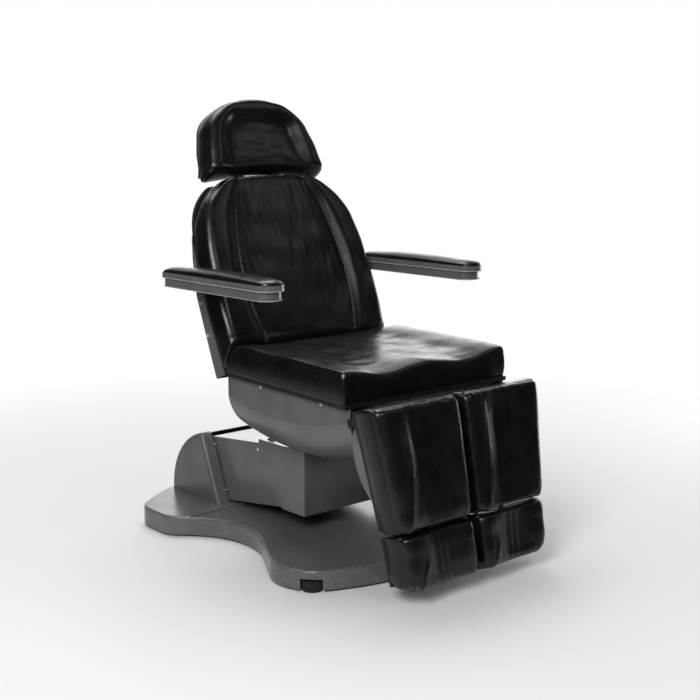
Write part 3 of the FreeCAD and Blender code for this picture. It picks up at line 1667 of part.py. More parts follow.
def actuator(rear, pin, x, side, along, across, slack, inside, tube_end):
    """A motor with its tube, and its rod. The rod's eye has slack round the lever's pin."""
    line = vec(0, pin[0] - rear[0], pin[1] - rear[1])
    reach = line.Length
    turn = math.atan2(line.z, line.y) + across / reach
    length = reach + along
    bore = actuator_pin + running_gap
    hub = cross_rod(0, 0, actuator_eye, -actuator_eye_width / 2, actuator_eye_width / 2)
    gear = block(-gearbox_width / 2, gearbox_width / 2 + can_offset / 2, gearbox_start,
                 gearbox_start + gearbox_length, -gearbox_height / 2, gearbox_height / 2)
    gear = gear.makeFillet(box_edge, gear.Edges)
    neck = block(-actuator_eye_width / 2, actuator_eye_width / 2, 0, gearbox_start + box_edge,
                 -hub_neck, hub_neck)
    end = length - tube_end
    tube = rod(vec(0, gearbox_start, 0), vec(0, end, 0), actuator_tube)
    can = rod(vec(can_offset, gearbox_start + gearbox_length - box_edge, 0),
              vec(can_offset, gearbox_start + gearbox_length + can_length, 0), can_radius)
    hub_cut = cross_rod(0, 0, bore, -gearbox_width, gearbox_width)
    hole = rod(vec(0, gearbox_start + box_edge, 0), vec(0, end + overrun, 0), actuator_rod + running_gap)
    motor = joined([hub, neck, gear, tube, can]).cut(hub_cut).cut(hole)
    eye_bore = actuator_pin + slack
    eye_outer = eye_bore + arm_wall
    stem = rod(vec(0, end - inside, 0), vec(0, length - eye_bore, 0), actuator_rod)
    eye = cross_rod(length, 0, eye_outer, -actuator_eye_width / 2, actuator_eye_width / 2)
    eye_cut = cross_rod(length, 0, eye_bore, -actuator_eye_width, actuator_eye_width)
    push = joined([stem, eye]).cut(eye_cut)
    place = FreeCAD.Placement(vec(x, rear[0], rear[1]),
                              FreeCAD.Rotation(vec(1, 0, 0), math.degrees(turn)))
    result = []
    for shape in (motor, push):
        shape = shape if side > 0 else mirrored(shape)
        shape.Placement = place.multiply(shape.Placement)
        result.append(shape)
    return result


def actuators():
    lift = actuator((lift_motor_y, lift_motor_z), along_arm(lift_pin_place), 0, 1, lift_eye_along,
                    lift_eye_across, lift_slack, tube_inside["lift"], tube_ends["lift"])
    tilt = actuator((tilt_motor_y, tilt_motor_z), (tilt_pin_y, tilt_pin_z), tilt_motor_x, -1, 0, 0,
                    tilt_slack, tube_inside["tilt"], tube_ends["tilt"])
    back = actuator((back_motor_y, back_motor_z), back_pin(), back_motor_x, -1, back_eye_along,
                    back_eye_across, back_slack, tube_inside["back"], tube_ends["back"])
    leg = actuator((leg_motor_y, leg_motor_z), leg_pin(), leg_motor_x, 1, leg_eye_along,
                   leg_eye_across, leg_slack, tube_inside["leg"], tube_ends["leg"])
    return {"lift": lift, "tilt": tilt, "back": back, "leg": leg}


# Every node of the chair

def standing_pieces():
    """What stands on the floor, and the arms that rise from it."""
    return {
        "base_frame": base_frame(),
        "front_base_cover": front_base_cover(),
        "rear_base_cover": rear_base_cover(),
        "levelling_feet": levelling_feet(),
        "tower_shafts": tower_shafts(),
        "base_cover_screws": base_cover_screws(),
        "control_box": control_box(),
        "power_inlet": power_inlet(),
        "lift_arm_frame": lift_arm_frame(),
        "lift_arm_cover": lift_arm_cover(),
        "arm_cover_fasteners": arm_cover_screws(),
        "lower_link": lower_link(),
    }


def carried_pieces():
    """What the arms carry, in the middle of the chair."""
    return {
        "carriage_frame": carriage_frame(),
        "carriage_cover": carriage_cover(),
        "carriage_shafts": carriage_shafts(),
        "seat_frame": seat_frame(),
        "seat_shell": seat_shell(),
        "seat_board": seat_board_piece(),
        "seat_cushion": seat_cushion(),
        "shell_screws": shell_screws(),
        "tilt_pins": tilt_pins(),
        "back_frame": back_frame(),
        "back_board": back_board_piece(),
        "back_cushion": back_cushion(),
        "back_shell": back_shell(),
        "back_shell_screws": back_shell_screws(),
        "headrest_posts": headrest_posts(),
        "headrest_plate": headrest_plate(),
        "headrest_board": headrest_board(),
        "headrest_cushion": headrest_cushion(),
        "leg_frame": leg_frame(),
    }


def sided_pieces():
    """What the arms carry on the left, and mirrored on the right."""
    return {
        "armrest_bar": armrest_bar(),
        "armrest_shell": armrest_shell(),
        "armrest_pad": armrest_pad(),
        "leg_rail": leg_rail(),
        "leg_board": leg_board_piece(),
        "leg_cushion": leg_cushion(),
        "leg_shell": leg_shell(),
        "foot_rail": foot_rail(),
        "foot_board": foot_board_piece(),
        "foot_cushion": foot_cushion(),
    }


def pieces():
    found = standing_pieces()
    for name, shape in carried_pieces().items():
        found[name] = carried(shape)
    for name, (motor, push) in actuators().items():
        stands = name == "lift"
        found[name + "_motor"] = motor if stands else carried(motor)
        found[name + "_rod"] = push if stands else carried(push)
    for name, shape in sided_pieces().items():
        left = carried(shape)
        found["left_" + name] = left
        found["right_" + name] = mirrored(left)
    return found


for name, shape in pieces().items():
    if not shape.isValid():
        print(name, "is not valid")
    print(name, "solids", len(shape.Solids), "volume", round(shape.Volume))
    shape.exportStep("parts/" + name + ".step")
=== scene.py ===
import math
import bpy
import bmesh
import numpy as np
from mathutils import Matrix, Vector


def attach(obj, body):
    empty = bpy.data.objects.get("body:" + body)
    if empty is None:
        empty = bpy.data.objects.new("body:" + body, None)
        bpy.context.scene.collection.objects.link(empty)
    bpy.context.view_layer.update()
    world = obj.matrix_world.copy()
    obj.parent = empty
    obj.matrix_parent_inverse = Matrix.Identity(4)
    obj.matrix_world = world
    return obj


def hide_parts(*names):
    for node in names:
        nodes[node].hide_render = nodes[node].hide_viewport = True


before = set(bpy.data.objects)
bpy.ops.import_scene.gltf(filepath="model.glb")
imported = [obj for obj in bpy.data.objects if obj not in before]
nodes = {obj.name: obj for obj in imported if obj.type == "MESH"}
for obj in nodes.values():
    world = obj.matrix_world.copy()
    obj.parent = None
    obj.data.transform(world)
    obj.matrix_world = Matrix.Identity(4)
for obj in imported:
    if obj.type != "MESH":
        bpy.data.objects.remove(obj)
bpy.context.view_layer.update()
mm = 0.001  # every length in the pieces' dictionaries is in millimetres


def leanedPlace(x, depth, up, place):
    # A leaning part's own axes turned into the chair's: depth runs behind its front, up its plane
    lean = math.radians(place["lean"])
    y = place["y"] + depth * math.cos(lean) + up * math.sin(lean)
    z = place["z"] - depth * math.sin(lean) + up * math.cos(lean)
    return np.stack([x, y, z], axis=-1) * mm


def throughStations(at, stations, values):
    # A cubic through the stations, whose slopes are the differences of their neighbours
    xs, ys = np.asarray(stations, float), np.asarray(values, float)
    slopes = np.gradient(ys, xs)
    i = np.clip(np.searchsorted(xs, at) - 1, 0, len(xs) - 2)
    h = xs[i + 1] - xs[i]
    t = (at - xs[i]) / h
    start = (2 * t ** 3 - 3 * t ** 2 + 1) * ys[i] + (t ** 3 - 2 * t ** 2 + t) * h * slopes[i]
    end = (3 * t ** 2 - 2 * t ** 3) * ys[i + 1] + (t ** 3 - t ** 2) * h * slopes[i + 1]
    return start + end


def gridLines(low, high, step, fine=None, marks=(), reach=None):
    # Positions from low to high, a step apart, and closer together within reach of each mark
    t = np.linspace(low, high, 4000)  # fine enough that the spacing comes out smooth
    density = np.full(t.shape, 1 / step)
    for mark in marks:
        density = density + (1 / fine - 1 / step) * np.exp(-((t - mark) / reach) ** 2)
    total = np.concatenate([[0], np.cumsum((density[1:] + density[:-1]) / 2 * np.diff(t))])
    return np.interp(np.linspace(0, total[-1], int(math.ceil(total[-1])) + 1), total, t)


def boxSkin(us, vs, ws):
    # The skin of a box of grid lines: each point's three parameters, the quads between the points,
    # and the number of the point at each place of the grid, -1 inside
    shape = (len(us), len(vs), len(ws))
    inside = np.zeros(shape, bool)
    inside[1:-1, 1:-1, 1:-1] = True
    index = np.full(shape, -1)
    index[~inside] = np.arange((~inside).sum())
    i, j, k = np.nonzero(~inside)
    sides = [(index[:, :, -1], False), (index[:, :, 0], True), (index[-1], False),
             (index[0], True), (index[:, -1], True), (index[:, 0], False)]
    quads = []
    for side, turned in sides:
        q = np.stack([side[:-1, :-1], side[1:, :-1], side[1:, 1:], side[:-1, 1:]], axis=-1)
        q = q.reshape(-1, 4)
        quads.append(q[:, ::-1] if turned else q)
    return np.stack([us[i], vs[j], ws[k]], axis=1), np.concatenate(quads), index


def newPiece(name, points, faces, material, smooth=True):
    # A mesh from points in metres and faces, which are turned outwards
    mesh = bpy.data.meshes.new(name)
    mesh.from_pydata(points.tolist(), [], [list(map(int, f)) for f in faces])
    shell = bmesh.new()
    shell.from_mesh(mesh)
    bmesh.ops.remove_doubles(shell, verts=shell.verts, dist=1e-6)
    bmesh.ops.recalc_face_normals(shell, faces=shell.faces)
    shell.to_mesh(mesh)
    shell.free()
    mesh.polygons.foreach_set("use_smooth", np.full(len(mesh.polygons), smooth))
    mesh.materials.append(material)
    piece = bpy.data.objects.new(name, mesh)
    bpy.context.scene.collection.objects.link(piece)
    return piece


def ripple(points, seed, wave, count=24):
    # Smooth unevenness, mostly between -1 and 1: sines of about one wave length, with seeded
    # directions and starts
    rng = np.random.default_rng(seed)
    total = np.zeros(len(points))
    for _ in range(count):
        way = rng.normal(size=points.shape[1])
        way *= 2 * math.pi / wave / np.linalg.norm(way) * rng.uniform(0.6, 1.5)
        total += np.sin(points @ way + rng.uniform(0, 2 * math.pi))
    return total / math.sqrt(count)


def unevenness(skin, layers, first=0):
    # Ripples added up. Each layer is a height, the shares of x and along that count, a seed and a
    # wave length: a small share of along draws a ripple out into creases along the cushion
    total = 0
    for height, across, down, seed, wave in layers:
        flat = np.stack([skin["x"] * across, skin["along"] * down], axis=1)
        total = total + height * ripple(flat, first + seed, wave)
    return total


def ridge(distance, width):
    # A bump that is 1 on a line and falls away over the width
    return np.exp(-(distance / width) ** 2)


def ridges(distance, rows):
    # Ridges side by side: each row is a height, how far beside the line it stands, and a width
    return sum(height * ridge(distance - beside, width) for height, beside, width in rows)


def linear(hexColour):
    channels = [int(hexColour[i:i + 2], 16) / 255 for i in (1, 3, 5)]
    return [c / 12.92 if c <= 0.04045 else ((c + 0.055) / 1.055) ** 2.4 for c in channels] + [1]


def addNode(material, kind, inputs=None, **settings):
    node = material.node_tree.nodes.new(kind)
    for name, value in settings.items():
        setattr(node, name, value)
    for name, value in (inputs or {}).items():
        if isinstance(value, bpy.types.NodeSocket):
            material.node_tree.links.new(value, node.inputs[name])
        else:
            node.inputs[name].default_value = value
    return node


def startMaterial(name, roughness, metallic=0.0, **more):
    material = bpy.data.materials.new(name)
    material.use_nodes = True
    material.node_tree.nodes.clear()
    shader = addNode(material, "ShaderNodeBsdfPrincipled",
                     {"Roughness": roughness, "Metallic": metallic})
    for socket, value in more.items():
        shader.inputs[socket.replace("_", " ")].default_value = value
    addNode(material, "ShaderNodeOutputMaterial", {"Surface": shader.outputs[0]})
    place = addNode(material, "ShaderNodeTexCoord").outputs["Object"]
    return material, shader, place


def link(material, output, socket):
    material.node_tree.links.new(output, socket)


def mottle(material, shader, place, dark, light, size):
    # Colour that drifts between two near shades over patches of a size in millimetres
    noise = addNode(material, "ShaderNodeTexNoise",
                    {"Vector": place, "Scale": 1 / (size * mm), "Detail": 4.0})
    ramp = addNode(material, "ShaderNodeValToRGB", {"Fac": noise.outputs["Fac"]})
    for stop, position, colour in zip(ramp.color_ramp.elements, (0.35, 0.65), (dark, light)):
        stop.position = position
        stop.color = linear(colour)
    link(material, ramp.outputs["Color"], shader.inputs["Base Color"])


def roughnessDrift(material, shader, place, low, high, size):
    # Gloss that drifts between two roughnesses over patches of a size in millimetres
    noise = addNode(material, "ShaderNodeTexNoise",
                    {"Vector": place, "Scale": 1 / (size * mm), "Detail": 3.0})
    spread = addNode(material, "ShaderNodeMapRange",
                     {"Value": noise.outputs["Fac"], "From Min": 0.3, "From Max": 0.7,
                      "To Min": low, "To Max": high})
    link(material, spread.outputs["Result"], shader.inputs["Roughness"])


def bumps(material, shader, heights):
    # Each height is an output, its depth in millimetres and its strength; they add up in order
    normal = None
    for output, depth, strength in heights:
        inputs = {"Height": output, "Distance": depth * mm, "Strength": strength}
        if normal is not None:
            inputs["Normal"] = normal
        normal = addNode(material, "ShaderNodeBump", inputs).outputs["Normal"]
    link(material, normal, shader.inputs["Normal"])


def fauxLeather():
    # PU-coated upholstery cloth, embossed with a pebble grain: black, with a soft even gloss.
    # The real grain is about 1 mm, drawn at 2.6 mm to show
    material, shader, place = startMaterial("fauxLeather", 0.3, IOR=1.5)
    mottle(material, shader, place, "#0b0b0c", "#121213", 70)
    roughnessDrift(material, shader, place, 0.25, 0.35, 45)
    grain = addNode(material, "ShaderNodeTexVoronoi", {"Vector": place, "Scale": 1 / (2.6 * mm)},
                    feature="SMOOTH_F1")
    creases = addNode(material, "ShaderNodeTexNoise",
                      {"Vector": place, "Scale": 1 / (14 * mm), "Detail": 4.0, "Roughness": 0.55,
                       "Distortion": 0.6})
    bumps(material, shader, [(creases.outputs["Fac"], 0.5, 0.3),
                             (grain.outputs["Distance"], 0.2, 0.25)])
    return material


def seamThread():
    # Twisted polyester sewing thread: black, matt, with fine ribs across. The ribs are 0.4 mm
    # apart, drawn at 2 mm to show
    material, shader, place = startMaterial("seamThread", 0.7)
    mottle(material, shader, place, "#161616", "#242425", 3)
    twist = addNode(material, "ShaderNodeTexWave", {"Vector": place, "Scale": 1 / (2 * mm)})
    bumps(material, shader, [(twist.outputs["Fac"], 0.2, 0.5)])
    return material


def boardWrap():
    # The cushion's cloth pulled round the edge of a plywood board: black, duller than the face,
    # with its grain as coarse as the face's
    material, shader, place = startMaterial("boardWrap", 0.5, IOR=1.5)
    mottle(material, shader, place, "#101011", "#19191b", 50)
    grain = addNode(material, "ShaderNodeTexVoronoi", {"Vector": place, "Scale": 1 / (2.6 * mm)})
    bumps(material, shader, [(grain.outputs["Distance"], 0.3, 0.3)])
    return material


def mouldedAbs(name="mouldedAbs", dark="#58595a", light="#626364"):
    # Vacuum-formed ABS sheet, anthracite, with a fine leathery haircell that leaves it satin, and a
    # slow wave that bends its reflections. The real cells are about 1 mm, drawn at 3 mm to show
    material, shader, place = startMaterial(name, 0.28, IOR=1.53)
    mottle(material, shader, place, dark, light, 90)
    roughnessDrift(material, shader, place, 0.26, 0.32, 60)
    haircell = addNode(material, "ShaderNodeTexNoise",
                       {"Vector": place, "Scale": 1 / (3 * mm), "Detail": 3.0})
    wave = addNode(material, "ShaderNodeTexNoise",
                   {"Vector": place, "Scale": 1 / (140 * mm), "Detail": 1.0})
    bumps(material, shader, [(wave.outputs["Fac"], 0.8, 0.2), (haircell.outputs["Fac"], 0.25, 0.3)])
    return material


def grainedCover():
    # ABS with a coarse sprayed grain for shoes to stand on: dark, speckled with small light tips.
    # The real tips are about 1.5 mm apart, drawn at 3.2 mm to show
    material, shader, place = startMaterial("grainedCover", 0.24, IOR=1.53)
    tips = addNode(material, "ShaderNodeTexNoise",
                   {"Vector": place, "Scale": 1 / (3.2 * mm), "Detail": 2.0, "Roughness": 0.7})
    drift = addNode(material, "ShaderNodeTexNoise",
                    {"Vector": place, "Scale": 1 / (60 * mm), "Detail": 2.0})
    speckle = addNode(material, "ShaderNodeValToRGB", {"Fac": tips.outputs["Fac"]})
    stops = zip(speckle.color_ramp.elements, (0.42, 0.66), ("#4a4a4b", "#7c7d7e"))
    for stop, position, colour in stops:
        stop.position = position
        stop.color = linear(colour)
    tint = addNode(material, "ShaderNodeMix",
                   {0: drift.outputs["Fac"], 6: speckle.outputs["Color"], 7: linear("#555657")},
                   data_type="RGBA")
    link(material, tint.outputs[2], shader.inputs["Base Color"])
    bumps(material, shader, [(tips.outputs["Fac"], 0.16, 0.6)])
    return material


def powderCoat(name="powderCoat", dark="#58595a", light="#606162"):
    # Powder-coated sheet steel: anthracite, baked satin, with a faint orange peel of about 4 mm
    material, shader, place = startMaterial(name, 0.2, IOR=1.5)
    mottle(material, shader, place, dark, light, 120)
    roughnessDrift(material, shader, place, 0.18, 0.24, 80)
    peel = addNode(material, "ShaderNodeTexNoise",
                   {"Vector": place, "Scale": 1 / (4 * mm), "Detail": 1.0})
    bumps(material, shader, [(peel.outputs["Fac"], 0.3, 0.25)])
    return material


def zincPlate(name="zincPlate", dark="#9a9c9e", light="#b9bbbd", low=0.28, high=0.46):
    # Zinc-plated steel, passivated: grey metal with faint cloudy patches. Tumbled screws are matter
    # and brighter than the shafts
    material, shader, place = startMaterial(name, low, metallic=1.0)
    mottle(material, shader, place, dark, light, 12)
    roughnessDrift(material, shader, place, low, high, 9)
    return material


def chromedSteel():
    # Polished chromed steel: bright, with hairline rubbing that breaks the reflections. Real hairs
    # are finer than 0.1 mm, drawn at 1.5 mm to show
    material, shader, place = startMaterial("chromedSteel", 0.12, metallic=1.0)
    mottle(material, shader, place, "#c9cacb", "#dedfe0", 30)
    hairs = addNode(material, "ShaderNodeTexNoise",
                    {"Vector": place, "Scale": 1 / (1.5 * mm), "Detail": 2.0})
    bumps(material, shader, [(hairs.outputs["Fac"], 0.03, 0.3)])
    return material


def mouldedRubber():
    # Moulded black rubber: matt, with a dusty bloom and pores drawn coarser than real ones
    material, shader, place = startMaterial("mouldedRubber", 0.8, IOR=1.52)
    mottle(material, shader, place, "#090909", "#121212", 15)
    pores = addNode(material, "ShaderNodeTexNoise",
                    {"Vector": place, "Scale": 1 / (1.6 * mm), "Detail": 3.0})
    bumps(material, shader, [(pores.outputs["Fac"], 0.3, 0.4)])
    return material


def mouldedNylon(name="mouldedNylon", dark="#1a1a1b", light="#262627"):
    # Glass-filled nylon housing: black, with a spark-eroded grain of 0.3 mm, drawn at 1.4 mm
    material, shader, place = startMaterial(name, 0.5, IOR=1.53)
    mottle(material, shader, place, dark, light, 25)
    grain = addNode(material, "ShaderNodeTexNoise",
                    {"Vector": place, "Scale": 1 / (1.4 * mm), "Detail": 2.0})
    bumps(material, shader, [(grain.outputs["Fac"], 0.2, 0.4)])
    return material


leather = fauxLeather()
thread = seamThread()
wrap = boardWrap()
coverAbs = mouldedAbs()
# The beads' copy is painted light grey as a painted highlight along the armrest shell's ribs, which
# are really the shell's anthracite
polishedAbs = mouldedAbs("polishedAbs", "#9a9b9c", "#a5a6a7")
grained = grainedCover()
coated = powderCoat()
frameCoat = powderCoat("frameCoat", "#131314", "#1b1b1c")
zinc = zincPlate()
screwPlate = zincPlate("screwPlate", "#e2e3e4", "#f2f2f3", 0.6, 0.75)
chrome = chromedSteel()
rubber = mouldedRubber()
nylon = mouldedNylon()
motorShell = mouldedNylon("motorShell", "#2c2d2e", "#383939")

# Each node's finish, without its left_ or right_; boards, motors, rods and frames go by kind
finishes = {
    "front_base_cover": grained, "rear_base_cover": coverAbs, "seat_shell": coverAbs,
    "back_shell": coverAbs, "armrest_shell": coverAbs, "leg_shell": coverAbs,
    "lift_arm_cover": coated, "carriage_cover": coated, "levelling_feet": rubber,
    "power_inlet": nylon, "control_box": nylon, "base_cover_screws": zinc,
    "arm_cover_fasteners": chrome, "shell_screws": screwPlate, "back_shell_screws": screwPlate,
    "tower_shafts": zinc, "carriage_shafts": zinc, "tilt_pins": zinc, "headrest_posts": chrome,
}
for name, node in nodes.items():
    short = name.replace("left_", "").replace("right_", "")
    if short in finishes:
        finish = finishes[short]
    elif short.endswith("_board"):
        finish = wrap
    elif short.endswith("_motor"):
        finish = motorShell
    elif short.endswith("_rod"):
        finish = zinc
    else:
        finish = frameCoat
    node.data.materials.clear()
    node.data.materials.append(finish)
print("materials on", len(nodes), "nodes")


def roundedCorner(side, end, radius):
    # How far a point near a corner of the plan moves in, so that the corner is a quarter circle
    dx, dy = np.clip(radius - side, 0, radius), np.clip(radius - end, 0, radius)
    shrink = np.maximum(dx, dy) / np.maximum(np.hypot(dx, dy), 1e-9)
    share = np.where((dx > 0) & (dy > 0), 1 - shrink, 0)
    return dx * share, dy * share


def roundOver(side, end, sideRadius, endRadius):
    # How far the face drops near its rim: a quarter circle, whose radius turns from the side's to
    # the end's round the corner
    near, ends = np.clip(1 - side / sideRadius, 0, 1), np.clip(1 - end / endRadius, 0, 1)
    both = near ** 2 + ends ** 2
    radius = (near ** 2 * sideRadius + ends ** 2 * endRadius) / np.maximum(both, 1e-9)
    return radius * (1 - np.sqrt(1 - np.minimum(both, 1)))


def cushionPoints(form, uvw):
    # A box's skin bent into a cushion: u runs across, v along, w from the board to the face. The
    # wall bulges like a sine between board and rim, the rim rolls over, and the face follows its
    # height. side and end are each point's distances from the nearest side and end of the plan
    u, v, w = uvw.T
    low, high = form["sides"](v)
    draw = form["draw"] * (1 - np.sin(math.pi * w))
    half = (high - low) / 2 - draw
    share = form["share"](u, v) if "share" in form else u
    x = (low + high) / 2 + share * half
    foot, top = form["ends"](x)
    start, length = foot + draw, top - foot - 2 * draw
    side, end = half * (1 - np.abs(share)), np.minimum(v, 1 - v) * length
    lowCorner, highCorner = form["corner"]
    moveX, moveY = roundedCorner(side, end, np.where(v < 0.5, lowCorner, highCorner))
    x = x - np.sign(u) * moveX
    along = start + v * length - np.sign(v - 0.5) * moveY
    endRadius = np.where(v < 0.5, form["lowRadius"], form["highRadius"])
    height = form["height"](u, v, x) - roundOver(side, end, form["sideRadius"], endRadius)
    return {"x": x, "along": along, "side": side, "end": end, "u": u, "v": v, "w": w,
            "points": form["place"](x, along, w * height)}


def cushionLines(form, coarse=1.0):
    # Grid lines that crowd near the rims and near the sewn lines across the face
    half, length, sewn = form["half"], form["length"], form.get("sewn", ())
    step, fine, reach = form["step"] * coarse, form["fine"] * coarse, 13
    us = gridLines(-1, 1, step / half, fine / half, (-1, 1) + sewn, reach / half)
    for line in sewn:
        us[np.argmin(np.abs(us - line))] = line
    vs = gridLines(0, 1, step / length, fine / length, (0, 1), reach / length)
    layers = form["layers"] if coarse == 1 else max(3, form["layers"] // 3)
    return us, vs, np.linspace(0, 1, layers)


swell = {"coarse": 2.6, "pressure": 4.0, "stretch": 20, "bending": 4.0, "frames": 20}


def swellField(form):
    # Cloth pinned at its seams and blown up a little, on a coarse skin of the same cushion. It
    # gives how far each point moved, at most the cap, smoothed over the face
    us, vs, ws = cushionLines(form, swell["coarse"])
    uvw, quads, index = boxSkin(us, vs, ws)
    points = cushionPoints(form, uvw)["points"]
    mesh = bpy.data.meshes.new("swellTrial")
    mesh.from_pydata(points.tolist(), [], quads.tolist())
    trial = bpy.data.objects.new("swellTrial", mesh)
    bpy.context.scene.collection.objects.link(trial)
    u, v, w = uvw.T
    sewn = np.isin(u, form.get("sewn", ()))
    pinned = (w < 0.001) | (w > 0.999) & ((np.abs(u) > 0.999) | (np.abs(v - 0.5) > 0.4999) | sewn)
    group = trial.vertex_groups.new(name="seams")
    group.add(np.nonzero(pinned)[0].tolist(), 1.0, "REPLACE")
    cloth = trial.modifiers.new("cloth", "CLOTH")
    settings = cloth.settings
    settings.vertex_group_mass = "seams"
    settings.use_pressure = True
    settings.uniform_pressure_force = swell["pressure"]
    settings.tension_stiffness = settings.compression_stiffness = swell["stretch"]
    settings.bending_stiffness = swell["bending"]
    settings.effector_weights.gravity = 0
    cloth.collision_settings.use_collision = False
    for step in range(1, swell["frames"] + 1):
        bpy.context.scene.frame_set(step)
    done = trial.evaluated_get(bpy.context.evaluated_depsgraph_get()).to_mesh()
    moved = np.empty(len(points) * 3)
    done.vertices.foreach_get("co", moved)
    moved = moved.reshape(-1, 3) - points
    far = np.linalg.norm(moved, axis=1, keepdims=True)
    print("  swell: mean and most, mm", *np.round([far.mean() / mm, far.max() / mm], 1))
    moved *= np.minimum(1, form["cap"] * mm / np.maximum(far, 1e-9))
    bpy.context.scene.frame_set(1)
    bpy.data.objects.remove(trial)
    field = np.zeros(index.shape + (3,))
    field[index >= 0] = moved
    for _ in range(2):
        face = field[:, :, -1]
        face[1:-1] = (face[:-2] + 2 * face[1:-1] + face[2:]) / 4
        face[:, 1:-1] = (face[:, :-2] + 2 * face[:, 1:-1] + face[:, 2:]) / 4
    return (us, vs, ws), field


def readField(lines, field, uvw):
    # The trial's moves read between its grid lines, by shares of the eight nearest
    total = np.zeros((len(uvw), 3))
    low, share = [], []
    for axis, line in enumerate(lines):
        i = np.clip(np.searchsorted(line, uvw[:, axis]) - 1, 0, len(line) - 2)
        low.append(i)
        share.append(np.clip((uvw[:, axis] - line[i]) / (line[i + 1] - line[i]), 0, 1))
    for a, b, c in np.ndindex(2, 2, 2):
        part = [s if bit else 1 - s for s, bit in zip(share, (a, b, c))]
        total += field[low[0] + a, low[1] + b, low[2] + c] * (part[0] * part[1] * part[2])[:, None]
    return total


def outwardNormals(points, quads):
    # Each point's normal, from the quads round it, turned away from the middle
    a, b, c, d = (points[quads[:, i]] for i in range(4))
    flat = np.cross(c - a, d - b)
    normals = np.zeros_like(points)
    for i in range(4):
        np.add.at(normals, quads[:, i], flat)
    normals /= np.maximum(np.linalg.norm(normals, axis=1, keepdims=True), 1e-12)
    return normals if (normals * (points - points.mean(0))).sum() > 0 else -normals


seamEdge = {"width": 1.8, "swelling": 0.4, "beside": 6, "spread": 4, "drift": 70, "away": 99}


def seamWork(skin, foam, seed, size, ends=True):
    # A sewn rim: a groove, a little swelling beside it, and puckers across it that die away. The
    # ends have no seam where ends is false
    face = skin["w"] > 0.999
    rim = np.minimum(skin["side"], skin["end"]) if ends else skin["side"]
    onSide = np.abs(skin["u"]) > 0.999
    wall = np.where(onSide | ends, (1 - skin["w"]) * foam, seamEdge["away"])
    gap = np.where(face, rim, wall)
    run = skin["x"] + skin["along"]
    drift = ripple(np.stack([run, run * 0], axis=1), seed, seamEdge["drift"])
    puckers = np.sin(run / size["pucker"] * 2 * math.pi + 2.5 * drift) * (0.6 + 0.4 * drift)
    return (-size["groove"] * ridge(gap, seamEdge["width"])
            + seamEdge["swelling"] * ridge(gap - seamEdge["beside"], seamEdge["spread"])
            + size["depth"] * puckers * ridge(gap - size["reach"] / 3, size["reach"]))


stitch = {"pitch": 5.0, "length": 3.4, "thick": 0.9, "lift": 0.1}


def stitchRow(name, path, normals, body):
    # Short threads along a path: four rings of six points, thinner at the ends
    run = np.concatenate([[0], np.cumsum(np.linalg.norm(np.diff(path, axis=0), axis=1))])
    at = np.arange(stitch["pitch"] * mm, run[-1], stitch["pitch"] * mm)
    centres = np.stack([np.interp(at, run, path[:, i]) for i in range(3)], axis=1)
    up = np.stack([np.interp(at, run, normals[:, i]) for i in range(3)], axis=1)
    ahead = np.gradient(centres, axis=0)
    ahead /= np.linalg.norm(ahead, axis=1, keepdims=True)
    side = np.cross(ahead, up)
    turn = (np.arange(6) * math.pi / 3)[:, None]
    ring = side[:, None] * np.cos(turn) + up[:, None] * np.sin(turn)
    along = np.array([-0.5, -0.3, 0.3, 0.5])[:, None, None] * stitch["length"] * mm
    wide = np.array([0.3, 1.0, 1.0, 0.3])[:, None, None] * stitch["thick"] / 2 * mm
    points = centres[:, None, None] + ahead[:, None, None] * along + ring[:, None] * wide
    k = np.arange(6)
    wall = np.stack([k, (k + 1) % 6, (k + 1) % 6 + 6, k + 6], axis=1)
    caps = np.array([[0, 1, 2, 3], [0, 3, 4, 5], [18, 21, 20, 19], [18, 23, 22, 21]])
    one = np.concatenate([wall, wall + 6, wall + 12, caps])
    faces = (one[None] + np.arange(len(centres))[:, None, None] * 24).reshape(-1, 4)
    row = newPiece(name, points.reshape(-1, 3), faces, thread)
    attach(row, body)


def lineOnFace(index, points, normals, us, across, vs, start, stop):
    # A line down the finished face at one share of its width, a little above the cloth
    rows = np.nonzero((vs >= start) & (vs <= stop))[0]
    i = np.clip(np.searchsorted(us, across) - 1, 0, len(us) - 2)
    share = (across - us[i]) / (us[i + 1] - us[i])
    a, b = index[i, rows, -1], index[i + 1, rows, -1]
    up = normals[a] * (1 - share) + normals[b] * share
    return points[a] * (1 - share) + points[b] * share + up * stitch["lift"] * mm, up


def makeCushion(name, form, body, node):
    # The shape, swollen by cloth, then its seams and folds, then its rows of stitches. A row is a
    # share of half the width, and where it starts and stops along the cushion
    us, vs, ws = cushionLines(form)
    uvw, quads, index = boxSkin(us, vs, ws)
    skin = cushionPoints(form, uvw)
    points = skin["points"]
    if form["cap"]:
        lines, field = swellField(form)
        points = points + readField(lines, field, uvw)
    points = points + outwardNormals(points, quads) * (form["folds"](skin) * mm)[:, None]
    piece = newPiece(name, points, quads, leather)
    refine = piece.modifiers.new("refine", "SUBSURF")
    refine.levels = refine.render_levels = 1
    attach(piece, body)
    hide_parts(node)
    normals = outwardNormals(points, quads)
    for number, (across, start, stop) in enumerate(form.get("stitches", ())):
        path, up = lineOnFace(index, points, normals, us, across, vs, start, stop)
        stitchRow(name + "Stitches%d" % (number + 1), path, up, body)
    print("cushion", name, len(points), "points")


# Where the leaning parts' axes start and how far they lean, and the arch of the backrest's top
backPlace = {"y": 85.0, "z": 580.0, "lean": 22.6}
legPlace = {"y": -518.2, "z": 502.9, "lean": 10.9}
arch = {"half": 230.0, "drop": 20.6}

